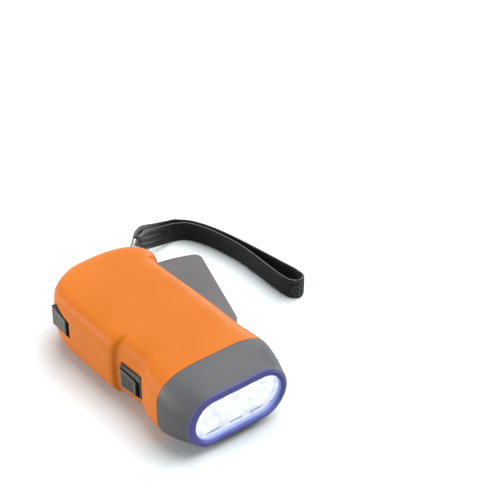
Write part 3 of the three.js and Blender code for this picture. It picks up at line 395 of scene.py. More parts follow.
webbing = {
    "shade": (0.0055, 0.0055, 0.0058),
    "light": (0.021, 0.021, 0.022),
    # pale serves both the knots at the fold and the painted highlight streaks near the crimp
    "pale": (0.19, 0.19, 0.19),
    "selvage": (0.155, 0.155, 0.157),
    "selvageWidth": 0.26,
    "ribLength": 0.95,
    "yarnWidth": 0.62,
    "knotPitch": 1.5,
    "knotReach": 7.5,
    "stitchInset": 1.5,
    "stitchLength": 2.4,
    "stitch": (0.075, 0.075, 0.08),
    "crimpSheenReach": 34,
}


def webbingFinish(length):
    # woven nylon band: ribs across, yarns along, pale rolled edges, one sewn line near each
    finish = Finish("webbingBlack", Sheen_Weight=0.06, Sheen_Roughness=0.4, Specular_IOR_Level=0.14)

    def waves(value, pitch):
        return (value * (math.pi / pitch)).sine()

    along, across, side = finish.weave()
    halfWidth, halfLength = strap["width"] / 2, length / 2
    wobble = finish.noise(700)
    rib = (along * (math.pi / webbing["ribLength"]) + wobble * 0.9).sine()
    cloth = abs(rib * waves(across, webbing["yarnWidth"])) ** 0.6
    fromMiddle = abs(across - halfWidth)
    edge = finish.stretch(fromMiddle, halfWidth - webbing["selvageWidth"], halfWidth - 0.04)
    thread = finish.stretch(abs(fromMiddle - (halfWidth - webbing["stitchInset"])), 0.34, 0.16)
    stitch = thread * finish.stretch(waves(along, webbing["stitchLength"] / 2), -0.35, -0.1)
    fuzz = finish.noise(2600, 3)
    # bent sharply at the fold, the weave opens and shows its knots
    fromFold = abs(along - halfLength)
    bend = finish.stretch(fromFold, webbing["knotReach"], 4.0)
    lattice = waves(along + across, webbing["knotPitch"]) * waves(along - across, webbing["knotPitch"])
    worn = finish.stretch(finish.noise(900, 1), 0.35, 0.6)
    knot = finish.stretch(abs(lattice), 0.35, 0.75) * bend * worn
    # painted highlight: drawn taut towards the crimp, the band is painted with lighter streaks along its
    # folds, as if it caught more light
    crimpSheen = finish.stretch(fromFold, halfLength - webbing["crimpSheenReach"], halfLength - 14)
    folds = (across * (math.tau * strap["folds"] / strap["width"]) + wobble).sine()
    streakSheen = 0.10 + 0.75 * finish.stretch(folds, 0.1, 0.95)
    shade = finish.tint(cloth * 0.5 + 0.25 * (fuzz - 0.5), webbing["shade"], webbing["light"])
    shade = finish.tint(crimpSheen * streakSheen * (0.4 + 0.6 * cloth), shade, webbing["pale"])
    shade = finish.tint(edge * (0.55 + 0.45 * cloth), shade, webbing["selvage"])
    shade = finish.tint(stitch * (0.18 + 0.4 * crimpSheen), shade, webbing["stitch"])
    shade = finish.tint(knot * 0.75, shade, webbing["pale"])
    height = cloth * 0.6 + stitch * 0.9 - thread * 0.35 + 0.25 * fuzz
    rough = 0.72 + 0.12 * (fuzz - 0.5)
    finish.put(Base_Color=shade, Roughness=rough, Normal=finish.bump(height, 0.16, 0.75))
    return finish


def cordFinish():
    # twisted thin cord, its plies running slantwise
    finish = Finish("cordBlack", Sheen_Weight=0.3, Sheen_Roughness=0.5)
    along, around, side = finish.weave()
    ply = abs((along * (math.pi / cord["plyLength"]) + around * math.pi).sine())
    shade = finish.tint(ply, (0.008, 0.008, 0.009), (0.05, 0.05, 0.054))
    finish.put(Base_Color=shade, Roughness=0.7 - 0.1 * ply, Normal=finish.bump(ply, 0.12, 0.8))
    return finish


def makeMesh(name, grid, finish=None, sharpAngle=32):
    points, faces = grid
    mesh = bpy.data.meshes.new(name)
    mesh.from_pydata((np.asarray(points, float) * mm).tolist(), [], faces)
    shaper = bmesh.new()
    shaper.from_mesh(mesh)
    bmesh.ops.recalc_face_normals(shaper, faces=shaper.faces)
    shaper.to_mesh(mesh)
    shaper.free()
    softShading(mesh, sharpAngle)
    if finish:
        mesh.materials.append(finish.material)
    thing = bpy.data.objects.new(name, mesh)
    scene.collection.objects.link(thing)
    return thing


def softShading(mesh, sharpAngle):
    mesh.polygons.foreach_set("use_smooth", np.ones(len(mesh.polygons), bool))
    mesh.set_sharp_from_angle(angle=math.radians(sharpAngle))


def ride(thing, body, slot, *nodes):
    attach(thing, body)
    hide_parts(*nodes)


def laid(first, second, third, axes="xyz"):
    # points from three columns or constants, which stand for the axes in this order
    columns = dict(zip(axes, np.broadcast_arrays(first, second, third)))
    return np.column_stack([columns[axis] for axis in "xyz"])


def turnsRound(count):
    return np.arange(count) * math.tau / count


def quarterRound(radius, steps):
    # a quarter circle as pairs: how far it has gone along, how far it still stands back
    turns = [math.pi / 2 * i / steps for i in range(steps + 1)]
    return [(radius * (1 - math.cos(turn)), radius * (1 - math.sin(turn))) for turn in turns]


def roundedLevels(low, high, radius, steps=4):
    # levels of a thickness with the inset each one needs for rounded ends
    arc = quarterRound(radius, steps) if radius else []
    levels = [(low + along, back) for along, back in arc[:-1]] + [(low + radius, 0), (high - radius, 0)]
    return levels + [(high - back, along) for along, back in arc[1:]]


def ringGrid(rings, closeAround=True, closeAlong=False, caps=True):
    # points and faces of a skin stretched over rings of equal count
    count = len(rings[0])
    points = np.concatenate([np.asarray(ring, float) for ring in rings])
    faces = []
    for level in range(len(rings) if closeAlong else len(rings) - 1):
        start, upper = level * count, (level + 1) % len(rings) * count
        for i in range(count if closeAround else count - 1):
            j = (i + 1) % count
            faces.append((start + i, start + j, upper + j, upper + i))
    if caps and not closeAlong:
        faces.append(tuple(range(count))[::-1])
        faces.append(tuple((len(rings) - 1) * count + i for i in range(count)))
    return points, faces


def prismGrid(outline, low, high, axes="xyz", rounding=0.0):
    # outline in the first two axes, run from low to high along the third, both end edges rounded
    shape = np.asarray(outline, float)
    flats = [(insetOutline(shape, inset), level) for level, inset in roundedLevels(low, high, rounding)]
    return ringGrid([laid(flat[:, 0], flat[:, 1], level, axes) for flat, level in flats])


def insetOutline(shape, distance):
    # every corner moved inwards along the mean of its two edge normals
    if abs(distance) < 1e-9:
        return shape
    before = np.roll(shape, 1, axis=0)
    after = np.roll(shape, -1, axis=0)
    area = np.sum(shape[:, 0] * after[:, 1] - after[:, 0] * shape[:, 1])
    turn = 1 if area > 0 else -1

    def unit(vectors):
        return vectors / np.maximum(np.linalg.norm(vectors, axis=1, keepdims=True), 1e-9)

    def normals(a, b):
        edge = unit(b - a)
        return np.stack([-edge[:, 1], edge[:, 0]], axis=1) * turn

    first, second = normals(before, shape), normals(shape, after)
    mean = unit(first + second)
    # a very sharp corner moves no further than about three times the distance
    return shape + mean * (distance / np.maximum(np.sum(mean * first, axis=1, keepdims=True), 0.35))


def latheGrid(profile, sides, axes="xyz", centre=(0, 0, 0)):
    # profile of radius and height pairs turned round the last of the axes
    turns = turnsRound(sides)
    cos, sin = np.cos(turns), np.sin(turns)
    return ringGrid([laid(radius * cos, radius * sin, height, axes) + centre for radius, height in profile])


def rodGrid(x, y, low, high, radius, sides=32):
    return latheGrid([(radius, low), (radius, high)], sides, centre=(x, y, 0))


def roundedCorners(corners, radius, steps=4):
    # polygon whose corners are drawn as arcs
    corners = [np.asarray(c, float) for c in corners]
    points = []
    for i, corner in enumerate(corners):
        before, after = corners[i - 1], corners[(i + 1) % len(corners)]
        toBefore = (before - corner) / np.linalg.norm(before - corner)
        toAfter = (after - corner) / np.linalg.norm(after - corner)
        half = math.acos(np.clip(toBefore @ toAfter, -1, 1)) / 2
        back = radius / math.tan(half)
        start, end = corner + toBefore * back, corner + toAfter * back
        inward = (toBefore + toAfter) / np.linalg.norm(toBefore + toAfter)
        centre = corner + inward * radius / math.sin(half)
        for step in range(steps + 1):
            share = step / steps
            spoke = (start - centre) * (1 - share) + (end - centre) * share
            points.append(centre + spoke / np.linalg.norm(spoke) * radius)
    return np.array(points)


def rectangle(x0, y0, x1, y1):
    return [(x0, y0), (x1, y0), (x1, y1), (x0, y1)]


def boxGrid(low, high, rounding=0.0):
    outline = rectangle(*low[:2], *high[:2])
    if rounding:
        outline = roundedCorners(outline, rounding)
    return prismGrid(outline, low[2], high[2], rounding=rounding)


def joinGrids(*grids):
    points, faces, start = [], [], 0
    for gridPoints, gridFaces in grids:
        points.append(gridPoints)
        faces += [tuple(start + i for i in face) for face in gridFaces]
        start += len(gridPoints)
    return np.concatenate(points), faces


def movedGrid(grid, matrix):
    points, faces = grid
    turn = np.array(matrix)
    return points @ turn[:3, :3].T + turn[:3, 3], faces


def arcPoints(centre, radius, start, end, steps):
    turns = np.radians(np.linspace(start, end, steps + 1))
    return [(centre[0] + radius * math.cos(t), centre[1] + radius * math.sin(t)) for t in turns]


def carve(target, cutter, how="DIFFERENCE", finish=None):
    # target's mesh becomes the result, and cut faces wear the cutter's own finish if it has one
    if isinstance(cutter, tuple):
        cutter = makeMesh("cutter", cutter, finish)
    if target.data.materials and not cutter.data.materials:
        cutter.data.materials.append(target.data.materials[0])
    modifier = target.modifiers.new("carve", "BOOLEAN")
    modifier.solver = "EXACT"
    modifier.material_mode = "TRANSFER"
    modifier.operation = how
    modifier.object = cutter
    bpy.context.view_layer.update()
    result = bpy.data.meshes.new_from_object(target.evaluated_get(bpy.context.evaluated_depsgraph_get()))
    target.modifiers.clear()
    old = target.data
    target.data = result
    bpy.data.meshes.remove(old)
    bpy.data.objects.remove(cutter)


class SkinNormals:
    # remembers the smooth normals of a mesh, for faces that lie on it after a cut
    def __init__(self, thing):
        mesh = thing.data
        self.points = [v.co.copy() for v in mesh.vertices]
        self.faces = [tuple(p.vertices) for p in mesh.polygons]
        corners = mesh.corner_normals
        self.normals = [[corners[i].vector.copy() for i in p.loop_indices] for p in mesh.polygons]
        self.tree = BVHTree.FromPolygons(self.points, self.faces)

    def at(self, point, facing):
        spot, normal, face, gap = self.tree.find_nearest(point)
        if face is None or gap > 2e-6 or normal.dot(facing) < 0.9:
            return None
        weights = poly_3d_calc([self.points[i] for i in self.faces[face]], spot)
        total = Vector((0, 0, 0))
        for weight, corner in zip(weights, self.normals[face]):
            total += weight * corner
        return total.normalized()


def keepNormals(thing, skin):
    # cut faces stay flat, and what is left of the skin keeps its smooth normals
    mesh = thing.data
    mesh.polygons.foreach_set("use_smooth", np.ones(len(mesh.polygons), bool))
    normals = [None] * len(mesh.loops)
    for face in mesh.polygons:
        ends = [mesh.vertices[face.vertices[i]].co for i in (0, -1)]
        onSkin = all(skin.at(end, face.normal) for end in ends)
        for loop in face.loop_indices:
            point = mesh.vertices[mesh.loops[loop].vertex_index].co
            normals[loop] = (onSkin and skin.at(point, face.normal)) or face.normal
    mesh.normals_split_custom_set([tuple(n) for n in normals])


def splinePoints(controls, perSpan, centripetal=True):
    # Catmull-Rom through the controls, uniform with repeated ends or centripetal with carried-on ends
    controls = np.asarray(controls, float)
    first, last = controls[0], controls[-1]
    if centripetal:
        first, last = 2 * first - controls[1], 2 * last - controls[-2]
    padded = np.vstack([first, controls, last])
    points = []
    for i in range(len(controls) - 1):
        p0, p1, p2, p3 = near = padded[i:i + 4]
        d0 = d1 = d2 = 1.0
        if centripetal:
            d0, d1, d2 = [max(np.linalg.norm(b - a), 1e-6) ** 0.5 for a, b in zip(near, near[1:])]
        leave = ((p1 - p0) / d0 - (p2 - p0) / (d0 + d1) + (p2 - p1) / d1) * d1
        arrive = ((p2 - p1) / d1 - (p3 - p1) / (d1 + d2) + (p3 - p2) / d2) * d1
        for step in range(perSpan):
            t = step / perSpan
            points.append(p1 + leave * t + (3 * (p2 - p1) - 2 * leave - arrive) * t ** 2
                          + (2 * (p1 - p2) + leave + arrive) * t ** 3)
    points.append(controls[-1])
    return np.array(points)


def evenly(points, count):
    # the same line with evenly spaced points, its direction at each, and its length
    gaps = np.linalg.norm(np.diff(points, axis=0), axis=1)
    travelled = np.concatenate([[0], np.cumsum(gaps)])
    wanted = np.linspace(0, travelled[-1], count)
    line = np.stack([np.interp(wanted, travelled, points[:, i]) for i in range(3)], axis=1)
    ways = np.gradient(line, axis=0)
    return line, ways / np.linalg.norm(ways, axis=1, keepdims=True), travelled[-1]


def sideways(way):
    across = np.array([-way[1], way[0], 0.0])
    return across / np.linalg.norm(across)


def smoothstep(value, low, high):
    t = np.clip((value - low) / (high - low), 0, 1)
    return t * t * (3 - 2 * t)


def hump(value, middle, width):
    return np.exp(-((value - middle) / width) ** 2)


def addWeave(thing, values):
    layer = thing.data.attributes.new("weave", "FLOAT_VECTOR", "POINT")
    layer.data.foreach_set("vector", np.asarray(values, np.float32).ravel())


strap = {
    "width": 10.0,
    "thickness": 1.18,
    "neckWidth": 3.8,
    "neckLength": 15.0,
    "steps": 460,
    "sectionSteps": 38,
    "folds": 3.4,
    "foldDepth": 0.5,
    "foldsEnd": 42.0,
    "stitchDip": 0.16,
    "wave": 0.16,
    "waveLength": 9.0,
    # x, y and the height of the lower edge, out along the far layer and back along the near one
    "route": [
        (26.8, 59.6, 20.1), (29.7, 62.9, 15.8), (33.8, 66.5, 11.7), (39.2, 69.9, 8.5), (45.9, 72.5, 5.5),
        (52.9, 74.7, 2.8), (59.6, 75.9, 0.8), (64.9, 73.6, 0.1), (68.5, 68, 0.1), (71.7, 59.5, 0.1),
        (74.3, 49.4, 0.1), (76.4, 39.2, 0.1), (78.4, 28, 0.1), (79.9, 18.7, 0.1), (81.1, 10.5, 0.1),
        (80.6, 5.6, 0.1), (77.3, 3.9, 0.1), (74.3, 6.2, 0.1), (73.2, 11, 0.1), (73, 18.9, 0.1),
        (73.1, 28.5, 0.1), (73, 39.5, 0.1), (71.9, 49, 0.1), (69.8, 58.8, 0.1), (66.8, 66.9, 0.1),
        (63.2, 72.2, 0.1), (58.2, 73.9, 0.4), (52, 72.9, 1.9), (45.8, 71, 4.1), (39.6, 68.2, 6.9),
        (34.8, 64.6, 10), (31.2, 61.4, 14.2), (27.9, 58.4, 20.2),
    ],
}


def bandWidth(fromEnd):
    # drawn together where the crimp holds the ends
    opening = math.sin(math.pi / 2 * min(fromEnd / strap["neckLength"], 1))
    return strap["neckWidth"] + (strap["width"] - strap["neckWidth"]) * opening


def makeStrap():
    line, ways, length = evenly(splinePoints(strap["route"], 40), strap["steps"] + 1)
    # cross-section of the band: 0 to 1 over its width, out one face and back the other
    shares = (1 - np.cos(np.linspace(0, math.pi, strap["sectionSteps"]))) / 2
    section = [(s, 1) for s in shares] + [(s, -1) for s in shares[::-1]]
    rings, weave = [], []
    for i, (at, way) in enumerate(zip(line, ways)):
        travelled = length * i / strap["steps"]
        fromEnd = min(travelled, length - travelled)
        upward = np.array([0, 0, 1.0]) - way * way[2]
        upward *= bandWidth(fromEnd) / np.linalg.norm(upward)
        normal = sideways(way)
        # lengthwise folds fan out from the crimp, the same way up in both layers
        gather = strap["foldDepth"] * smoothstep(fromEnd, 0, 3)
        gather *= 1 - smoothstep(fromEnd, 6, strap["foldsEnd"])
        gather *= 1 if travelled < length / 2 else -1
        ring = []
        for share, face in section:
            # rounded edges, a slight dip along each sewn line, and a lazy wave over the length
            half = strap["thickness"] / 2 * math.sqrt(max(0.0, 1 - (2 * share - 1) ** 10))
            fromEdge = min(share, 1 - share) * strap["width"]
            half *= 1 - strap["stitchDip"] * hump(fromEdge, webbing["stitchInset"], 0.3)
            fold = gather * math.sin(math.tau * strap["folds"] * share) * math.sin(math.pi * share) ** 0.5
            wave = strap["wave"] * math.sin(travelled / strap["waveLength"]) * (share - 0.5)
            ring.append(at + upward * share + normal * (face * half + fold + wave))
            weave.append((travelled, share * strap["width"], face))
        rings.append(ring)
    band = makeMesh("wrist_strap_band", ringGrid(rings), webbingFinish(length), 80)
    addWeave(band, weave)
    ride(band, "case", "webbing", "strap_webbing")
    print("strap made, length", round(length, 1), "mm")


crimp = {
    "at": (22.7, 54.9, 22.0),
    "bearing": math.radians(45),
    "radius": 1.25,
    "wall": 0.3,
    "length": 6.0,
    "rolled": 0.16,
    "pressed": 0.14,
    "pressedAt": (2.1, 3.9),
    "mouthDepth": 1.9,
    "flattened": 0.05,
}


def makeCrimp():
    # a short tube pinched on the strap ends: rolled mouths and two pressed bands
    length = crimp["length"]
    outer, inner = crimp["radius"] - crimp["rolled"], crimp["radius"] - crimp["rolled"] - crimp["wall"]
    bottom = length - crimp["mouthDepth"]
    profile = [(0.02, 0.05), (crimp["radius"] - 0.7, 0.0)]
    for at in np.arange(41) / 40 * length:
        roll = hump(at, 0.35, 0.3) + hump(at, length - 0.35, 0.3)
        press = sum(hump(at, middle, 0.45) for middle in crimp["pressedAt"])
        profile.append((outer + crimp["rolled"] * roll - crimp["pressed"] * press, at))
    profile += [(inner, length - 0.1), (inner, bottom + 0.1), (inner, bottom), (0.02, bottom)]
    points, faces = latheGrid(profile, 48, "yzx")
    # slightly flattened where the jaws closed
    points[:, 2] *= 1 - crimp["flattened"] * hump(points[:, 0], 3, 1.6)
    turn = Matrix.Translation(crimp["at"]) @ Matrix.Rotation(crimp["bearing"], 4, "Z")
    tube = makeMesh("strap_crimp_tube", movedGrid((points, faces), turn), finishes["crimp"], 50)
    ride(tube, "case", "steel", "strap_crimp")
    print("crimp made")


cord = {
    "post": (18.6, 48.6),
    "postRadius": 1.0,
    "gap": 0.3,
    "radius": 0.5,
    "halfGap": 0.15,
    "lead": 2.5,
    "plyLength": 0.8,
    "plyDepth": 0.07,
    "steps": 120,
    "sides": 16,
}


def besideCrimp(back, side):
    cos, sin = math.cos(crimp["bearing"]), math.sin(crimp["bearing"])
    x, y, z = crimp["at"]
    return (x - cos * back - sin * side, y - sin * back + cos * side, z)


def makeCord():
    # from the crimp round the post and back
    x, y, z = crimp["at"]
    postX, postY = cord["post"]
    radius = cord["postRadius"] + cord["gap"] + cord["radius"]
    leaving = math.degrees(math.atan2(y - postY, x - postX))
    roundPost = [(*at, z) for at in arcPoints(cord["post"], radius, leaving + 90, leaving + 270, 8)]
    side = cord["radius"] + cord["halfGap"]
    leadSide = side + cord["halfGap"]
    route = [besideCrimp(cord["gap"], side), besideCrimp(cord["lead"], leadSide), *roundPost,
             besideCrimp(cord["lead"], -leadSide), besideCrimp(cord["gap"], -side)]
    line, ways, length = evenly(splinePoints(route, 12), cord["steps"])
    up = np.array([0, 0, 1.0])
    rings, weave = [], []
    for i, (at, way) in enumerate(zip(line, ways)):
        travelled = length * i / (cord["steps"] - 1)
        ring = []
        for turn in turnsRound(cord["sides"]):
            twist = math.sin(travelled / cord["plyLength"] * math.pi / 2 + turn)
            reach = cord["radius"] * (1 - cord["plyDepth"] * abs(twist))
            ring.append(at + reach * (sideways(way) * math.cos(turn) + up * math.sin(turn)))
            weave.append((travelled, turn / math.pi, 0))
        rings.append(ring)
    loop = makeMesh("strap_cord_loop", ringGrid(rings), cordFinish(), 80)
    addWeave(loop, weave)
    ride(loop, "case", "cord", "strap_cord")
    print("cord loop made, length", round(length, 1), "mm")


caseShape = {
    "height": 32.0,
    "wall": 2.0,
    "seamY": -36.3,
    "neckRearY": -4.5,
    "rearRoundStartY": 30.0,
    "rearY": 55.2,
    "powers": (3.2, 4.2, 3.6),
    "flatShare": 0.985,
    "seamGroove": 0.07,
    "bossEnd": 0.8,
    "fineSteps": (9, 44),
    "quickSteps": (5, 20),
    "hiddenSteps": (4, 14),
    # plan outline at mid height, from the front left corner round the back to the front right one
    "outline": [
        (-27.3, -36.3), (-27.2, -31.3), (-26.2, -26), (-24.8, -22.4), (-23.5, -20), (-23.7, -15),
        (-24.2, -7.5), (-24.8, -4.9), (-26.7, -2.5), (-27.2, 3.5), (-27.6, 18), (-27.6, 32),
        (-25.4, 41.5), (-20.8, 48.6), (-11.5, 54), (0, 55.2), (9, 54.8), (17.5, 52.8), (22.8, 48.8),
        (25.4, 43), (24.6, 37.4), (22.1, 33), (22.4, 22), (23.4, 7.5), (24.2, -10.5), (25, -22),
        (26.7, -31.3), (27.3, -36.3),
    ],
}
midZ = caseShape["height"] / 2


def caseRing(plan, inset, height):
    # height runs from -1 to just past 1, where the ring has closed to the middle line
    front, grip, rear = caseShape["powers"]
    y = plan[:, 1]
    power = front + (grip - front) * smoothstep(y, caseShape["seamY"], caseShape["neckRearY"])
    power = power + (rear - power) * smoothstep(y, caseShape["rearRoundStartY"], caseShape["rearY"])
    share = np.maximum(1 - np.abs(height * caseShape["flatShare"]) ** power, 0) ** (1 / power)
    spine = np.stack([np.zeros(len(y)), np.minimum(y, caseShape["rearRoundStartY"])], axis=1)
    arm = plan - spine
    length = np.linalg.norm(arm, axis=1)
    flat = spine + arm * ((length - inset) * share / length)[:, None]
    # the flat top begins without a crease
    limit = 2 - 1 / caseShape["flatShare"]
    past = max(abs(height) - limit, 0)
    level = min(abs(height), limit) + past - past ** 2 / (2 * (1 / caseShape["flatShare"] - limit))
    return laid(flat[:, 0], flat[:, 1], midZ + math.copysign(level, height) * (midZ - inset))


def caseHalf(inset, frontY, side, steps):
    # closed solid from the parting plane to the top, or with side -1 to the underside
    perSpan, levels = steps
    plan = splinePoints([(x, y, 0) for x, y in caseShape["outline"]], perSpan, False)[:, :2]
    plan[0, 1] = plan[-1, 1] = frontY
    end = 0.9996 / caseShape["flatShare"]
    heights = [side * end * math.sin(math.pi / 2 * i / levels) for i in range(levels + 1)]
    rings = []
    if inset == 0:
        # fine groove where the halves meet
        groove = caseShape["seamGroove"]
        rings.append(caseRing(plan, groove, 0))
        heights[0] = side * groove / midZ
    rings += [caseRing(plan, inset, height) for height in heights]
    if inset:
        # runs past the parting plane so the cut is clean
        rings.insert(0, rings[0] - (0, 0, side))
    return ringGrid(rings)


pivot = (17.5, -19.0)
mechanism = {
    "axles": [(-3.285, -7.0), (-10.485, 5.471), (-8.123, 18.864)],
    "screws": [(-18, -29), (13.5, -30), (-13.5, 50), (9.5, 50)],
    "post": cord["post"],
    # upright rods as low end, high end, radius and sides: first what stands in each half, then its holes
    "case_top_half": (
        {"pin": (25.7, 32, 3.9), "axle0": (18.9, 32, 2.2, 24), "axle1": (23.3, 32, 2.2, 24),
         "axle2": (23.8, 32, 2.2, 24), "screw": (15.9, 32, 3.1, 24), "post": (15.9, 32, 4.0)},
        {"pin": (24.7, 27.3, 1.75), "screw": (15, 26.3, 1.3, 16), "post": (15, 18.9, 1.25, 16)},
    ),
    "case_bottom_half": (
        {"pin": (0, 9.2, 3.9), "axle0": (0, 11.2, 2.2, 24), "axle1": (0, 10.6, 2.2, 24),
         "axle2": (0, 10.6, 2.2, 24), "screw": (0, 16.1, 3.1, 24), "post": (0, 16.1, 3.0)},
        {"pin": (3.7, 9.5, 1.75), "screw": (-1, 6, 2.65), "post": (7.7, 18, 1.25, 16)},
    ),
    "eyeletBearing": math.radians(54),
    "eyelet": ((-3.2, -3.2, -2.5), (12.8, 3.2, 2.5)),
}


def uprightRods(kinds):
    places = {"pin": [pivot], "screw": mechanism["screws"], "post": [mechanism["post"]]}
    places.update({f"axle{i}": [at] for i, at in enumerate(mechanism["axles"])})
    return [rodGrid(*at, *size) for kind, size in kinds.items() for at in places[kind]]


def slotOutline(pad):
    # the hole a sliding pad moves in, with room for its travel in front
    front, rear = -pad["length"] / 2 - pad["travel"] - pad["gap"], pad["length"] / 2 + pad["gap"]
    bottom, top = -pad["height"] / 2 - pad["gap"], pad["height"] / 2 + pad["gap"]
    fallStart = rear - pad["travel"] - 2 * pad["gap"]
    return [(front, bottom), (rear, bottom), (rear, top), (fallStart, top), (front, top - pad["topFall"])]


def leverSlot():
    gap, frontY = lever["slotGap"], pivot[1] - lever["slotFront"]
    sector = [(pivot[0] - lever["hubRadius"], frontY), (pivot[0] + lever["slotReachX"], frontY)]
    sector += arcPoints(pivot, lever["reach"] + gap, *lever["slotBearings"], 48)
    return prismGrid(sector, lever["bottomZ"] - gap, lever["topZ"] + gap)


def cordEyelet():
    outward = Matrix.Translation((*mechanism["post"], crimp["at"][2]))
    outward = outward @ Matrix.Rotation(mechanism["eyeletBearing"], 4, "Z")
    return movedGrid(boxGrid(*mechanism["eyelet"]), outward)


def switchOpenings():
    # behind the light switch and the lever lock
    size = np.array([switch["windowDepth"] * 2, switch["frameLength"], switch["frameHeight"]]) / 2
    size += (0, switch["windowGap"], switch["windowGap"])
    window = movedGrid(boxGrid(-size, size), switchPose)
    lockHole = prismGrid(slotOutline(lock), lock["outerX"] - 1, lock["innerX"] + 1, "yzx")
    return joinGrids(window, movedGrid(lockHole, lockPose))


def makeShell(name, side, node):
    seamY, hidden = caseShape["seamY"], caseShape["hiddenSteps"]
    skinGrid = caseHalf(0, seamY, side, caseShape["fineSteps" if fine else "quickSteps"])
    bosses, holes = mechanism[name]
    shell = makeMesh(name, skinGrid, finishes["case"])
    skin = SkinNormals(shell)
    posts = makeMesh("posts", joinGrids(*uprightRods(bosses)), finishes["case"])
    # bosses end inside the wall, clear of the outer skin
    carve(posts, caseHalf(caseShape["bossEnd"], seamY, side, hidden), "INTERSECT")
    carve(shell, caseHalf(caseShape["wall"], seamY - 2, side, hidden))
    carve(shell, posts, "UNION")
    # overlapping cutters would confuse one cut, so they go one after another
    carve(shell, leverSlot())
    carve(shell, joinGrids(cordEyelet(), *uprightRods(holes)))
    # the openings' cut walls are painted near-black orange: painted shade inside the holes
    carve(shell, switchOpenings(), finish=finishes["caseRecessShade"])
    keepNormals(shell, skin)
    ride(shell, "case", "orange_case", node)
    print(name, "made,", len(shell.data.polygons), "faces")


head = {
    "lipY": -53.5,
    "lipHalf": (24.0, 12.1),
    "lipRound": 0.9,
    "openingHalf": (20.8, 9.1),
    "openingRound": 0.45,
    "lipDepth": 2.0,
    "collarLength": 3.2,
    "collarWall": 1.6,
    "collarGap": 0.7,
    "collarRound": 0.3,
    "halfWidth": 27.3,
    "seamGroove": 0.22,
    "pocketGap": 0.3,
    "power": 3.2,
    "around": 168,
    "steps": 36,
}


def signedPower(values, power):
    return np.sign(values) * np.abs(values) ** power


def grown(size, by):
    return (size[0] + by, size[1] + by)


def headRing(y, half):
    # the case's rounded section, flat on top and below
    turns = turnsRound(head["around"])
    x = signedPower(np.cos(turns), 2 / head["power"])
    z = np.clip(signedPower(np.sin(turns), 2 / head["power"]) / caseShape["flatShare"], -1, 1)
    return laid(half[0] * x, y, midZ + half[1] * z)


def stadiumRing(y, half, count=head["around"]):
    # straight above and below, half round at both sides
    turns = turnsRound(count)
    cos, sin = np.cos(turns), np.sin(turns)
    side = np.where(np.abs(cos) < 1e-9, 0, np.sign(cos))
    return laid(side * (half[0] - half[1]) + half[1] * cos, y, midZ + half[1] * sin)


def headOuterRing(y, share, trim=0.0):
    # from the case's section at share 0 to the lip's stadium at share 1
    lipHalfWidth, lipHalfHeight = head["lipHalf"]
    width = head["halfWidth"] + (lipHalfWidth - head["halfWidth"]) * share ** 1.8 - trim
    height = midZ + (lipHalfHeight - midZ) * share ** 1.6 - trim
    full, slot = headRing(y, (width, height)), stadiumRing(y, (width, height))
    return full + (slot - full) * share ** 1.5


def makeHead():
    seamY, lipY, lipRound = caseShape["seamY"], head["lipY"], head["lipRound"]
    opening, openRound = head["openingHalf"], head["openingRound"]
    rings = [headOuterRing(seamY - 0.02, 0, head["seamGroove"])]
    for i in range(head["steps"] + 1):
        # the first ring stands a little off the seam, which leaves the groove's edge crisp
        share = i / head["steps"]
        rings.append(headOuterRing(seamY - max(share, 0.012) * (seamY - lipY - lipRound), share))
    rings += [headOuterRing(lipY + back, 1, along) for along, back in quarterRound(lipRound, 7)[1:]]
    outerLip, innerLip = rings[-1], stadiumRing(lipY, grown(opening, openRound))
    rings += [outerLip + (innerLip - outerLip) * share for share in (0.25, 0.5, 0.75)]
    rings += [stadiumRing(lipY + along, grown(opening, back)) for along, back in quarterRound(openRound, 6)]
    # seat and pocket for the lens, then back along the inside of the collar and round its end
    seatY, pocketEndY = lipY + head["lipDepth"], light["reflectorFlangeY"] + head["pocketGap"]
    pocket = grown(light["lensHalf"], head["pocketGap"])
    collar = grown((head["halfWidth"], midZ), -caseShape["wall"] - head["collarGap"])
    collarInner, collarEnd = grown(collar, -head["collarWall"]), grown(collar, -head["collarRound"])
    collarEndY = seamY + head["collarLength"]
    rings += [
        stadiumRing(seatY - 0.02, opening), stadiumRing(seatY, pocket), stadiumRing(pocketEndY, pocket),
        headRing(pocketEndY + 0.02, collarInner), headRing(collarEndY, collarInner),
        headRing(collarEndY, collarEnd), headRing(collarEndY - head["collarRound"], collar),
        headRing(seamY, collar),
    ]
    shell = makeMesh("head_shell", ringGrid(rings, closeAlong=True), headFinish(), 38)
    ride(shell, "case", "head_grey", "head_bezel")
    print("head made")


light = {
    "lensFrontY": -51.46,
    "lensBackY": -50.0,
    "lensHalf": (21.8, 10.1),
    "lensRound": 0.25,
    "reflectorFrontY": -49.7,
    "reflectorFlangeY": -47.3,
    "reflectorBackY": -41.3,
    "reflectorBackHalf": (19.8, 8.5),
    "marksZ": 7.9,
    "cupPitch": 11.0,
    "cupRadius": 7.0,
    "cupDepth": 7.0,
    "cupSteps": 12,
    "ledRadius": 2.5,
    "ledTipY": -46.6,
    "ledFlangeY": -41.0,
    "ledBaseY": -40.0,
    "ledRim": 0.4,
    "throatGap": 0.25,
    "around": 120,
}


def cupGrid(x):
    # a deep bowl down to the throat that the LED stands in, open at both ends
    front, back = light["reflectorFrontY"], light["reflectorBackY"]
    mouth, throat = light["cupRadius"], light["ledRadius"] + light["throatGap"]
    profile = [(0.01, front - 1), (mouth + 0.3, front - 1), (mouth, front)]
    for i in range(1, light["cupSteps"] + 1):
        share = i / light["cupSteps"]
        radius = throat + (mouth - throat) * math.sqrt(1 - share * 0.999)
        profile.append((radius, front + light["cupDepth"] * share))
    profile += [(throat, back + 1), (0.01, back + 1)]
    return latheGrid(profile, 64, "zxy", (x, 0, midZ))


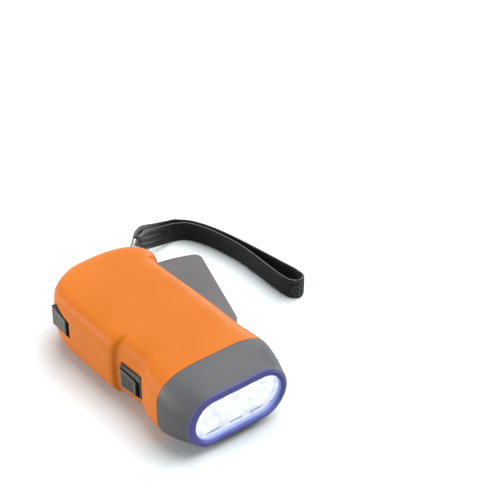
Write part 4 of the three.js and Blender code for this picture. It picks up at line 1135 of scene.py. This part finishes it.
def ledGrid(x):
    tip, radius = light["ledTipY"], light["ledRadius"]
    flangeY, baseY, rim = light["ledFlangeY"], light["ledBaseY"], radius + light["ledRim"]
    profile = [(0.01, tip)] + [(radius - back, tip + along) for along, back in quarterRound(radius, 9)[1:]]
    profile += [(radius, flangeY), (rim, flangeY), (rim, baseY), (0.01, baseY)]
    return latheGrid(profile, 40, "zxy", (x, 0, midZ))


def makeLight():
    half, around = light["lensHalf"], light["around"]
    levels = roundedLevels(light["lensFrontY"], light["lensBackY"], light["lensRound"])
    lensRings = [stadiumRing(y, grown(half, -inset), around) for y, inset in levels]
    lens = makeMesh("light_lens", ringGrid(lensRings), lensFinish())
    ride(lens, "case", "lens", "lens")
    # reflector block, then three deep cups cut out of it
    flangeY, backHalf = light["reflectorFlangeY"], light["reflectorBackHalf"]
    steps = [(light["reflectorFrontY"], half), (flangeY, half), (flangeY + 0.02, backHalf),
             (light["reflectorBackY"], backHalf)]
    blockGrid = ringGrid([stadiumRing(*step, around) for step in steps])
    block = makeMesh("light_reflector", blockGrid, reflectorFinish())
    places = [light["cupPitch"] * i for i in (-1, 0, 1)]
    for x in places:
        carve(block, cupGrid(x))
    softShading(block.data, 30)
    ride(block, "case", "reflector", "reflector")
    glow = ledFinish()
    for i, x in enumerate(places):
        led = makeMesh(f"light_led_{i + 1}", ledGrid(x), glow)
        ride(led, "case", "led", f"led_{i + 1}")
    print("light made")


pads = {
    "rounding": 0.45,
    "plainRim": (0.48, 0.92),
    "fineSteps": (110, 56),
    "quickSteps": (50, 26),
}
switch = {
    "at": (-24.0, -14.0, 15.5),
    "slant": math.radians(8),
    "frameLength": 12.5,
    "frameHeight": 11.0,
    "frameProud": 0.8,
    "frameBackX": 3.4,
    "frameCorner": 0.7,
    "frameRound": 0.35,
    "windowGap": 0.42,
    "windowDepth": 5.4,
}
# outerX is the pad's outermost face and innerX its flat rear, in the frame of its own pose
knob = {
    "at": (0, 0.8, -0.2),
    "length": 9.2,
    "height": 9.2,
    "topFall": 2.0,
    "outerX": -1.6,
    "innerX": 4.6,
    "travel": 1.6,
    "gap": 0.25,
    "ribPitch": 1.2,
    "ribDepth": 0.42,
    "flange": ((4.4, -5.8, -5.2), (5.4, 5.8, 5.2), 0.2),
    "stem": ((4.9, -1, -3.3), (6.7, 1, -1.3), 0.2),
}
lock = {
    "at": (0.0, 34.1, 18.5),
    "length": 10.4,
    "height": 9.6,
    "topFall": 2.0,
    "outerX": -28.2,
    "innerX": -22.4,
    "travel": 2.2,
    "gap": 0.25,
    "ribPitch": 1.2,
    "ribDepth": 0.12,
    "flangeX": (-22.6, -21.4),
    "flangeMargin": 0.6,
    "armX": -22.3,
    "armZ": (16, 19),
    "armWidth": 3,
    "armRound": 0.25,
    "toothBottomZ": 11.5,
}
switchPose = Matrix.Translation(switch["at"]) @ Matrix.Rotation(switch["slant"], 4, "Z")
lockPose = Matrix.Translation(lock["at"])


def padGrid(pad):
    # sliding pad seen from outside: upright ribs, rounded rim, top edge falling to the front
    columns, rows = pads["fineSteps" if fine else "quickSteps"]
    halfLength, halfHeight, rounding = pad["length"] / 2, pad["height"] / 2, pads["rounding"]
    grooves = math.floor(pad["length"] / pad["ribPitch"]) - 1
    rings = []
    for up in (1 - np.cos(np.linspace(0, math.pi, rows))) / 2:
        row = []
        for y in np.linspace(-halfLength, halfLength, columns):
            top = halfHeight - pad["topFall"] * (halfLength - y) / pad["length"]
            z = -halfHeight + up * (top + halfHeight)
            inset = min(y + halfLength, halfLength - y, z + halfHeight, (top - z) * 0.96)
            drop = rounding - math.sqrt(max(rounding ** 2 - max(rounding - inset, 0) ** 2, 0))
            phase = y / pad["ribPitch"] + (grooves - 1) / 2
            inGroove = -0.5 < phase < grooves - 0.5
            cut = (0.5 + 0.5 * math.cos(math.tau * phase)) ** 1.6 if inGroove else 0
            cut *= smoothstep(min(z + halfHeight, top - z), *pads["plainRim"])
            row.append((pad["outerX"] + drop + pad["ribDepth"] * cut, y, z))
        rings.append(row)
    points, faces = ringGrid(rings, closeAround=False, caps=False)
    # rim points run round the pad, then straight back to a flat rear
    rim = list(range(columns)) + [r * columns + columns - 1 for r in range(1, rows)]
    rim += [(rows - 1) * columns + c for c in range(columns - 2, -1, -1)]
    rim += [r * columns for r in range(rows - 2, 0, -1)]
    rear = points[rim].copy()
    rear[:, 0] = pad["innerX"]
    start = len(points)
    for i in range(len(rim)):
        j = (i + 1) % len(rim)
        faces.append((rim[i], rim[j], start + j, start + i))
    faces.append(tuple(start + i for i in range(len(rim))))
    return np.concatenate([points, rear]), faces


def makeLightSwitch():
    proud, back = switch["frameProud"], switch["frameBackX"]
    size = np.array([switch["frameLength"], switch["frameHeight"]]) / 2
    corners = roundedCorners(rectangle(*-size, *size), switch["frameCorner"])
    block = prismGrid(corners, -proud, back, "yzx", switch["frameRound"])
    rim = makeMesh("switch_frame_rim", movedGrid(block, switchPose), finishes["frame"])
    knobPose = switchPose @ Matrix.Translation(knob["at"])
    slot = prismGrid(slotOutline(knob), -proud - 1, back + 1, "yzx")
    # the slot's cut walls are painted near-black: painted shade
    carve(rim, movedGrid(slot, knobPose), finish=finishes["slot"])
    softShading(rim.data, 30)
    ride(rim, "case", "switch_grey", "switch_frame")
    # its knob, with the flange and stem behind it
    paintSideShade(finishes["knob"], switch["at"], switch["slant"], knob["outerX"])
    slider = makeMesh("light_switch_pad", movedGrid(padGrid(knob), knobPose), finishes["knob"], 40)
    # the flange behind the knob is painted near-black: painted shade seen through the slot
    carve(slider, movedGrid(boxGrid(*knob["flange"]), knobPose), "UNION", finishes["slot"])
    carve(slider, movedGrid(boxGrid(*knob["stem"]), knobPose), "UNION")
    softShading(slider.data, 40)
    ride(slider, "light_switch", "switch_grey", "light_switch_knob")
    print("light switch made")


def makeLeverLock():
    # pad, flange, arm over the cells and hooked tooth
    paintSideShade(finishes["lock"], lock["at"], 0, lock["outerX"])
    slider = makeMesh("lever_lock_pad", movedGrid(padGrid(lock), lockPose), finishes["lock"], 40)
    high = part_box("lever_lock_slider")[1]
    endX, endY = high.x / mm, high.y / mm
    rearY = lock["at"][1] + lock["length"] / 2
    frontY = rearY - lock["length"] - lock["travel"]
    reach, z = lock["height"] / 2 + lock["flangeMargin"], lock["at"][2]
    (flangeX, flangeEndX), (low, top), wide = lock["flangeX"], lock["armZ"], lock["armWidth"]
    # the lock's flange, arm and tooth are painted near-black: painted shade behind the pad
    carve(slider, boxGrid((flangeX, frontY, z - reach), (flangeEndX, rearY, z + reach), 0.2),
          "UNION", finishes["slot"])
    # each box reaches a little into the one before it
    for start, end in (
        ((lock["armX"], rearY - wide, low), (endX - 3.2, rearY, top)),
        ((endX - 6.3, rearY - wide, low), (endX - 3.25, endY, top)),
        ((endX - 4.3, endY - wide, low), (endX, endY, top)),
        ((endX - wide, endY - wide, lock["toothBottomZ"]), (endX, endY, top - 0.1)),
    ):
        carve(slider, boxGrid(start, end, lock["armRound"]), "UNION", finishes["slot"])
    softShading(slider.data, 40)
    ride(slider, "lever_lock", "switch_grey", "lever_lock_slider")
    print("lever lock made")


# the lever's own frame has its pivot at 0, 0 and its outer face along y
lever = {
    "openAngle": math.radians(17.5),
    "bottomZ": 9.5,
    "topZ": 22.5,
    "faceX": 9.7,
    "innerX": -12.5,
    "reach": 58.3,
    "wall": 1.6,
    "corner": 4.0,
    "hubRadius": 4.3,
    "boreRadius": 1.75,
    "shoulderY": 10.5,
    "noseY": 5.5,
    "noseRound": 3.0,
    "hollowNose": 3.6,
    "innerRise": 8.0,
    "hollowPast": 4,
    "rounding": 0.55,
    "slotGap": 0.5,
    "slotFront": 1.6,
    "slotReachX": 29.15,
    "slotBearings": (25, 93),
    "catchLength": 3.4,
    "hookLength": 1.5,
    "hookHeight": 1.4,
    "toothZ": (12, 15),
    "sectorTeeth": 50,
    "teethModelled": (-4, 2),
    "sectorFoot": [(-1, -3.3), (3.3, 3.3)],
    "sectorBearing": math.radians(150),
    "toothModule": 0.8,
    "toothPressure": math.radians(25),
    "toothGap": 0.16,
    "toothLevels": (-1.05, -0.5, 0, 0.4, 0.8),
}


def curveTo(points, control, end, steps=10):
    start = np.asarray(points[-1], float)
    control, end = np.asarray(control, float), np.asarray(end, float)
    for i in range(1, steps + 1):
        t = i / steps
        points.append(tuple(start * (1 - t) ** 2 + 2 * control * t * (1 - t) + end * t ** 2))


def leverRear(points, face, reach, corner, endX):
    centreX = face - corner
    centreY = math.sqrt((reach - corner) ** 2 - centreX ** 2)
    turn = math.degrees(math.atan2(centreY, centreX))
    points += arcPoints((centreX, centreY), corner, 0, turn, 16)
    points += arcPoints((0, 0), reach, turn, math.degrees(math.acos(endX / reach)), 40)[1:]


def leverOutline():
    face, nose, bend = lever["faceX"], lever["noseY"], lever["noseRound"]
    points = arcPoints((0, 0), lever["hubRadius"], 180, 360, 24)
    curveTo(points, (face - bend, nose - bend), (face - lever["wall"], nose))
    curveTo(points, (face, nose + bend), (face, lever["shoulderY"]))
    leverRear(points, face, lever["reach"], lever["corner"], lever["innerX"])
    points.append((lever["innerX"], lever["shoulderY"] + lever["innerRise"]))
    return points


def leverHollow():
    wall, nose, bend = lever["wall"], lever["noseY"], lever["noseRound"]
    face, end = lever["faceX"] - wall, lever["innerX"] - lever["hollowPast"]
    points = [(end, nose), (lever["faceX"] - lever["hollowNose"], nose)]
    curveTo(points, (face, nose + bend), (face, lever["shoulderY"]))
    leverRear(points, face, lever["reach"] - wall, lever["corner"] - wall, end)
    return points


def toothOutline(teeth, centre):
    # both involute flanks of one tooth, a little thinner than half the pitch
    pitch = lever["toothModule"] * teeth / 2
    base = pitch * math.cos(lever["toothPressure"])

    def roll(radius):
        turn = math.acos(min(1, base / radius))
        return math.tan(turn) - turn

    def halfAngle(radius):
        return math.pi / (2 * teeth) - lever["toothGap"] / (2 * pitch) + roll(pitch) - roll(radius)

    radii = [pitch + share * lever["toothModule"] for share in lever["toothLevels"]]
    left = [(centre - halfAngle(r), r) for r in radii]
    right = [(centre + halfAngle(r), r) for r in radii[::-1]]
    return [(r * math.cos(t), r * math.sin(t)) for t, r in left + right]


def makeLever():
    low, high, wall, innerX = lever["bottomZ"], lever["topZ"], lever["wall"], lever["innerX"]
    pose = Matrix.Translation((*pivot, 0)) @ Matrix.Rotation(-lever["openAngle"], 4, "Z")
    channel = prismGrid(leverOutline(), low, high, rounding=lever["rounding"])
    body = makeMesh("squeeze_lever_body", movedGrid(channel, pose), finishes["lever"])
    skin = SkinNormals(body)
    toothLow, toothHigh = lever["toothZ"]
    firstTooth = lever["sectorBearing"] + lever["openAngle"]
    sector = []
    for i in range(*lever["teethModelled"]):
        sector += toothOutline(lever["sectorTeeth"], firstTooth + i * math.tau / lever["sectorTeeth"])
    sector += lever["sectorFoot"]
    # a catch behind the hollow, with the hook that the lever lock holds
    baseY = math.sqrt(lever["reach"] ** 2 - innerX ** 2)
    catchX = innerX - lever["catchLength"]
    hookX, hookY = catchX + lever["hookLength"], baseY + lever["hookHeight"]
    for grid, how in (
        (prismGrid(leverHollow(), low + wall, high - wall), "DIFFERENCE"),
        (rodGrid(0, 0, low, high, lever["hubRadius"], 48), "UNION"),
        (prismGrid(sector, toothLow, toothHigh), "UNION"),
        (boxGrid((catchX, baseY - 1.8, toothLow), (innerX + 1.2, baseY - 0.2, toothHigh), 0.15), "UNION"),
        (boxGrid((catchX, baseY - 1.79, toothLow), (hookX, hookY, toothHigh), 0.2), "UNION"),
        (rodGrid(0, 0, low - 1, high + 1, lever["boreRadius"], 24), "DIFFERENCE"),
    ):
        carve(body, movedGrid(grid, pose), how)
    keepNormals(body, skin)
    ride(body, "squeeze_lever", "lever_grey", "lever")
    print("lever made")


screw = {
    "headZ": 4.2,
    "headRadius": 2.4,
    "headHeight": 1.5,
    "shankRadius": 1.05,
    "tipZ": 26.0,
    "threadTurns": 30,
    "threadPitch": 0.6,
    "threadDepth": 0.22,
    "slotHalf": (1.45, 0.275),
}


def makeScrews():
    z, radius, shank = screw["headZ"], screw["headRadius"], screw["shankRadius"]
    neckZ = screw["headHeight"] + z
    long, short = screw["slotHalf"]
    profile = [(0.01, z), (radius * 0.6, z + 0.05), (radius * 0.9, z + 0.3), (radius, z + 0.75),
               (radius, neckZ), (shank, neckZ + 0.02)]
    for turn in range(screw["threadTurns"]):
        at = neckZ + 0.4 + turn * screw["threadPitch"]
        profile += [(shank - screw["threadDepth"], at), (shank, at + screw["threadPitch"] / 2)]
    profile += [(0.3, screw["tipZ"] - 0.2), (0.01, screw["tipZ"])]
    for i, (x, y) in enumerate(mechanism["screws"]):
        turnedGrid = latheGrid(profile, 28, centre=(x, y, 0))
        thing = makeMesh(f"case_screw_head_{i + 1}", turnedGrid, finishes["steel"])
        turned = Matrix.Translation((x, y, z)) @ Matrix.Rotation(0.4 * i, 4, "Z")
        for halfX, halfY in ((long, short), (short, long)):
            carve(thing, movedGrid(boxGrid((-halfX, -halfY, -1), (halfX, halfY, 1)), turned))
        softShading(thing.data, 35)
        ride(thing, "case", "steel", f"case_screw_{i + 1}")
    print("screws made")


def dressMechanism():
    # CAD nodes that keep their shape and take a finish
    gear = mouldedPlastic("gearNylon", (0.78, 0.76, 0.68), 0.36, grain=0.005, mottle=0.02)
    box = mouldedPlastic("switchBoxBlack", (0.03, 0.03, 0.032), 0.4)
    for finish, names in (
        (gear, ["first_gear", "ratchet_pinion", "ratchet_wheel", "flywheel"]),
        (finishes["steel"], ["lever_spring", "lever_pin", "stator_plate", "strap_post"]),
        (finishes["steel"], ["first_axle", "ratchet_axle", "flywheel_axle"]),
        (metal("magnetGrey", (0.10, 0.10, 0.11), 0.5), ["ring_magnet"]),
        (metal("tabNickel", (0.72, 0.70, 0.65), 0.26), ["cell_tab_1", "cell_tab_2"]),
        (windingFinish(), ["coil"]),
        (boardFinish(), ["led_board"]),
        (sleeveFinish(), ["cell_pack"]),
        (box, ["switch_body"]),
    ):
        for name in names:
            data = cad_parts[name].data
            data.materials.clear()
            data.materials.append(finish.material)
    print("mechanism dressed")


room = {
    "floor": (0.735, 0.780, 0.795),
    "floorHalf": 3000,
    "sky": 0.28,
    # where each light comes from, its strength and how wide it looks in degrees
    "suns": {
        "key": ((0.88, -0.10, 1.78), 4.65, 68),
        "fill": ((-1.0, 0.75, 0.06), 5.20, 50),
        "rim": ((1.0, 0.75, 0.22), 0.40, 14),
    },
}


def makeRoom():
    scene.view_settings.view_transform = "Standard"
    finish = Finish("paleFloor", Specular_IOR_Level=0.12)
    mottle = finish.noise(14, 3)
    shade = finish.tint(mottle, scaled(room["floor"], 0.99), room["floor"])
    grain = finish.bump(finish.noise(2500), 0.01, 0.2)
    finish.put(Base_Color=shade, Roughness=0.8 + 0.05 * mottle, Normal=grain)
    edge = room["floorHalf"]
    floor = makeMesh("floor", boxGrid((-edge, -edge, -2.0), (edge, edge, -0.02)), finish)
    world = bpy.data.worlds.new("studio")
    scene.world = world
    world.use_nodes = True
    sky = world.node_tree.nodes["Background"]
    sky.inputs["Color"].default_value = (1, 1, 1, 1)
    sky.inputs["Strength"].default_value = room["sky"]
    for name, (place, strength, width) in room["suns"].items():
        lamp = bpy.data.lights.new(name, "SUN")
        lamp.energy = strength
        lamp.angle = math.radians(width)
        thing = bpy.data.objects.new(name, lamp)
        thing.rotation_euler = Vector(place).to_track_quat("Z", "Y").to_euler()
        scene.collection.objects.link(thing)
    print("room made")


makeStrap()
makeCrimp()
makeCord()
makeShell("case_top_half", 1, "top_shell")
makeShell("case_bottom_half", -1, "bottom_shell")
makeHead()
makeLight()
makeLightSwitch()
makeLeverLock()
makeLever()
makeScrews()
dressMechanism()
makeRoom()
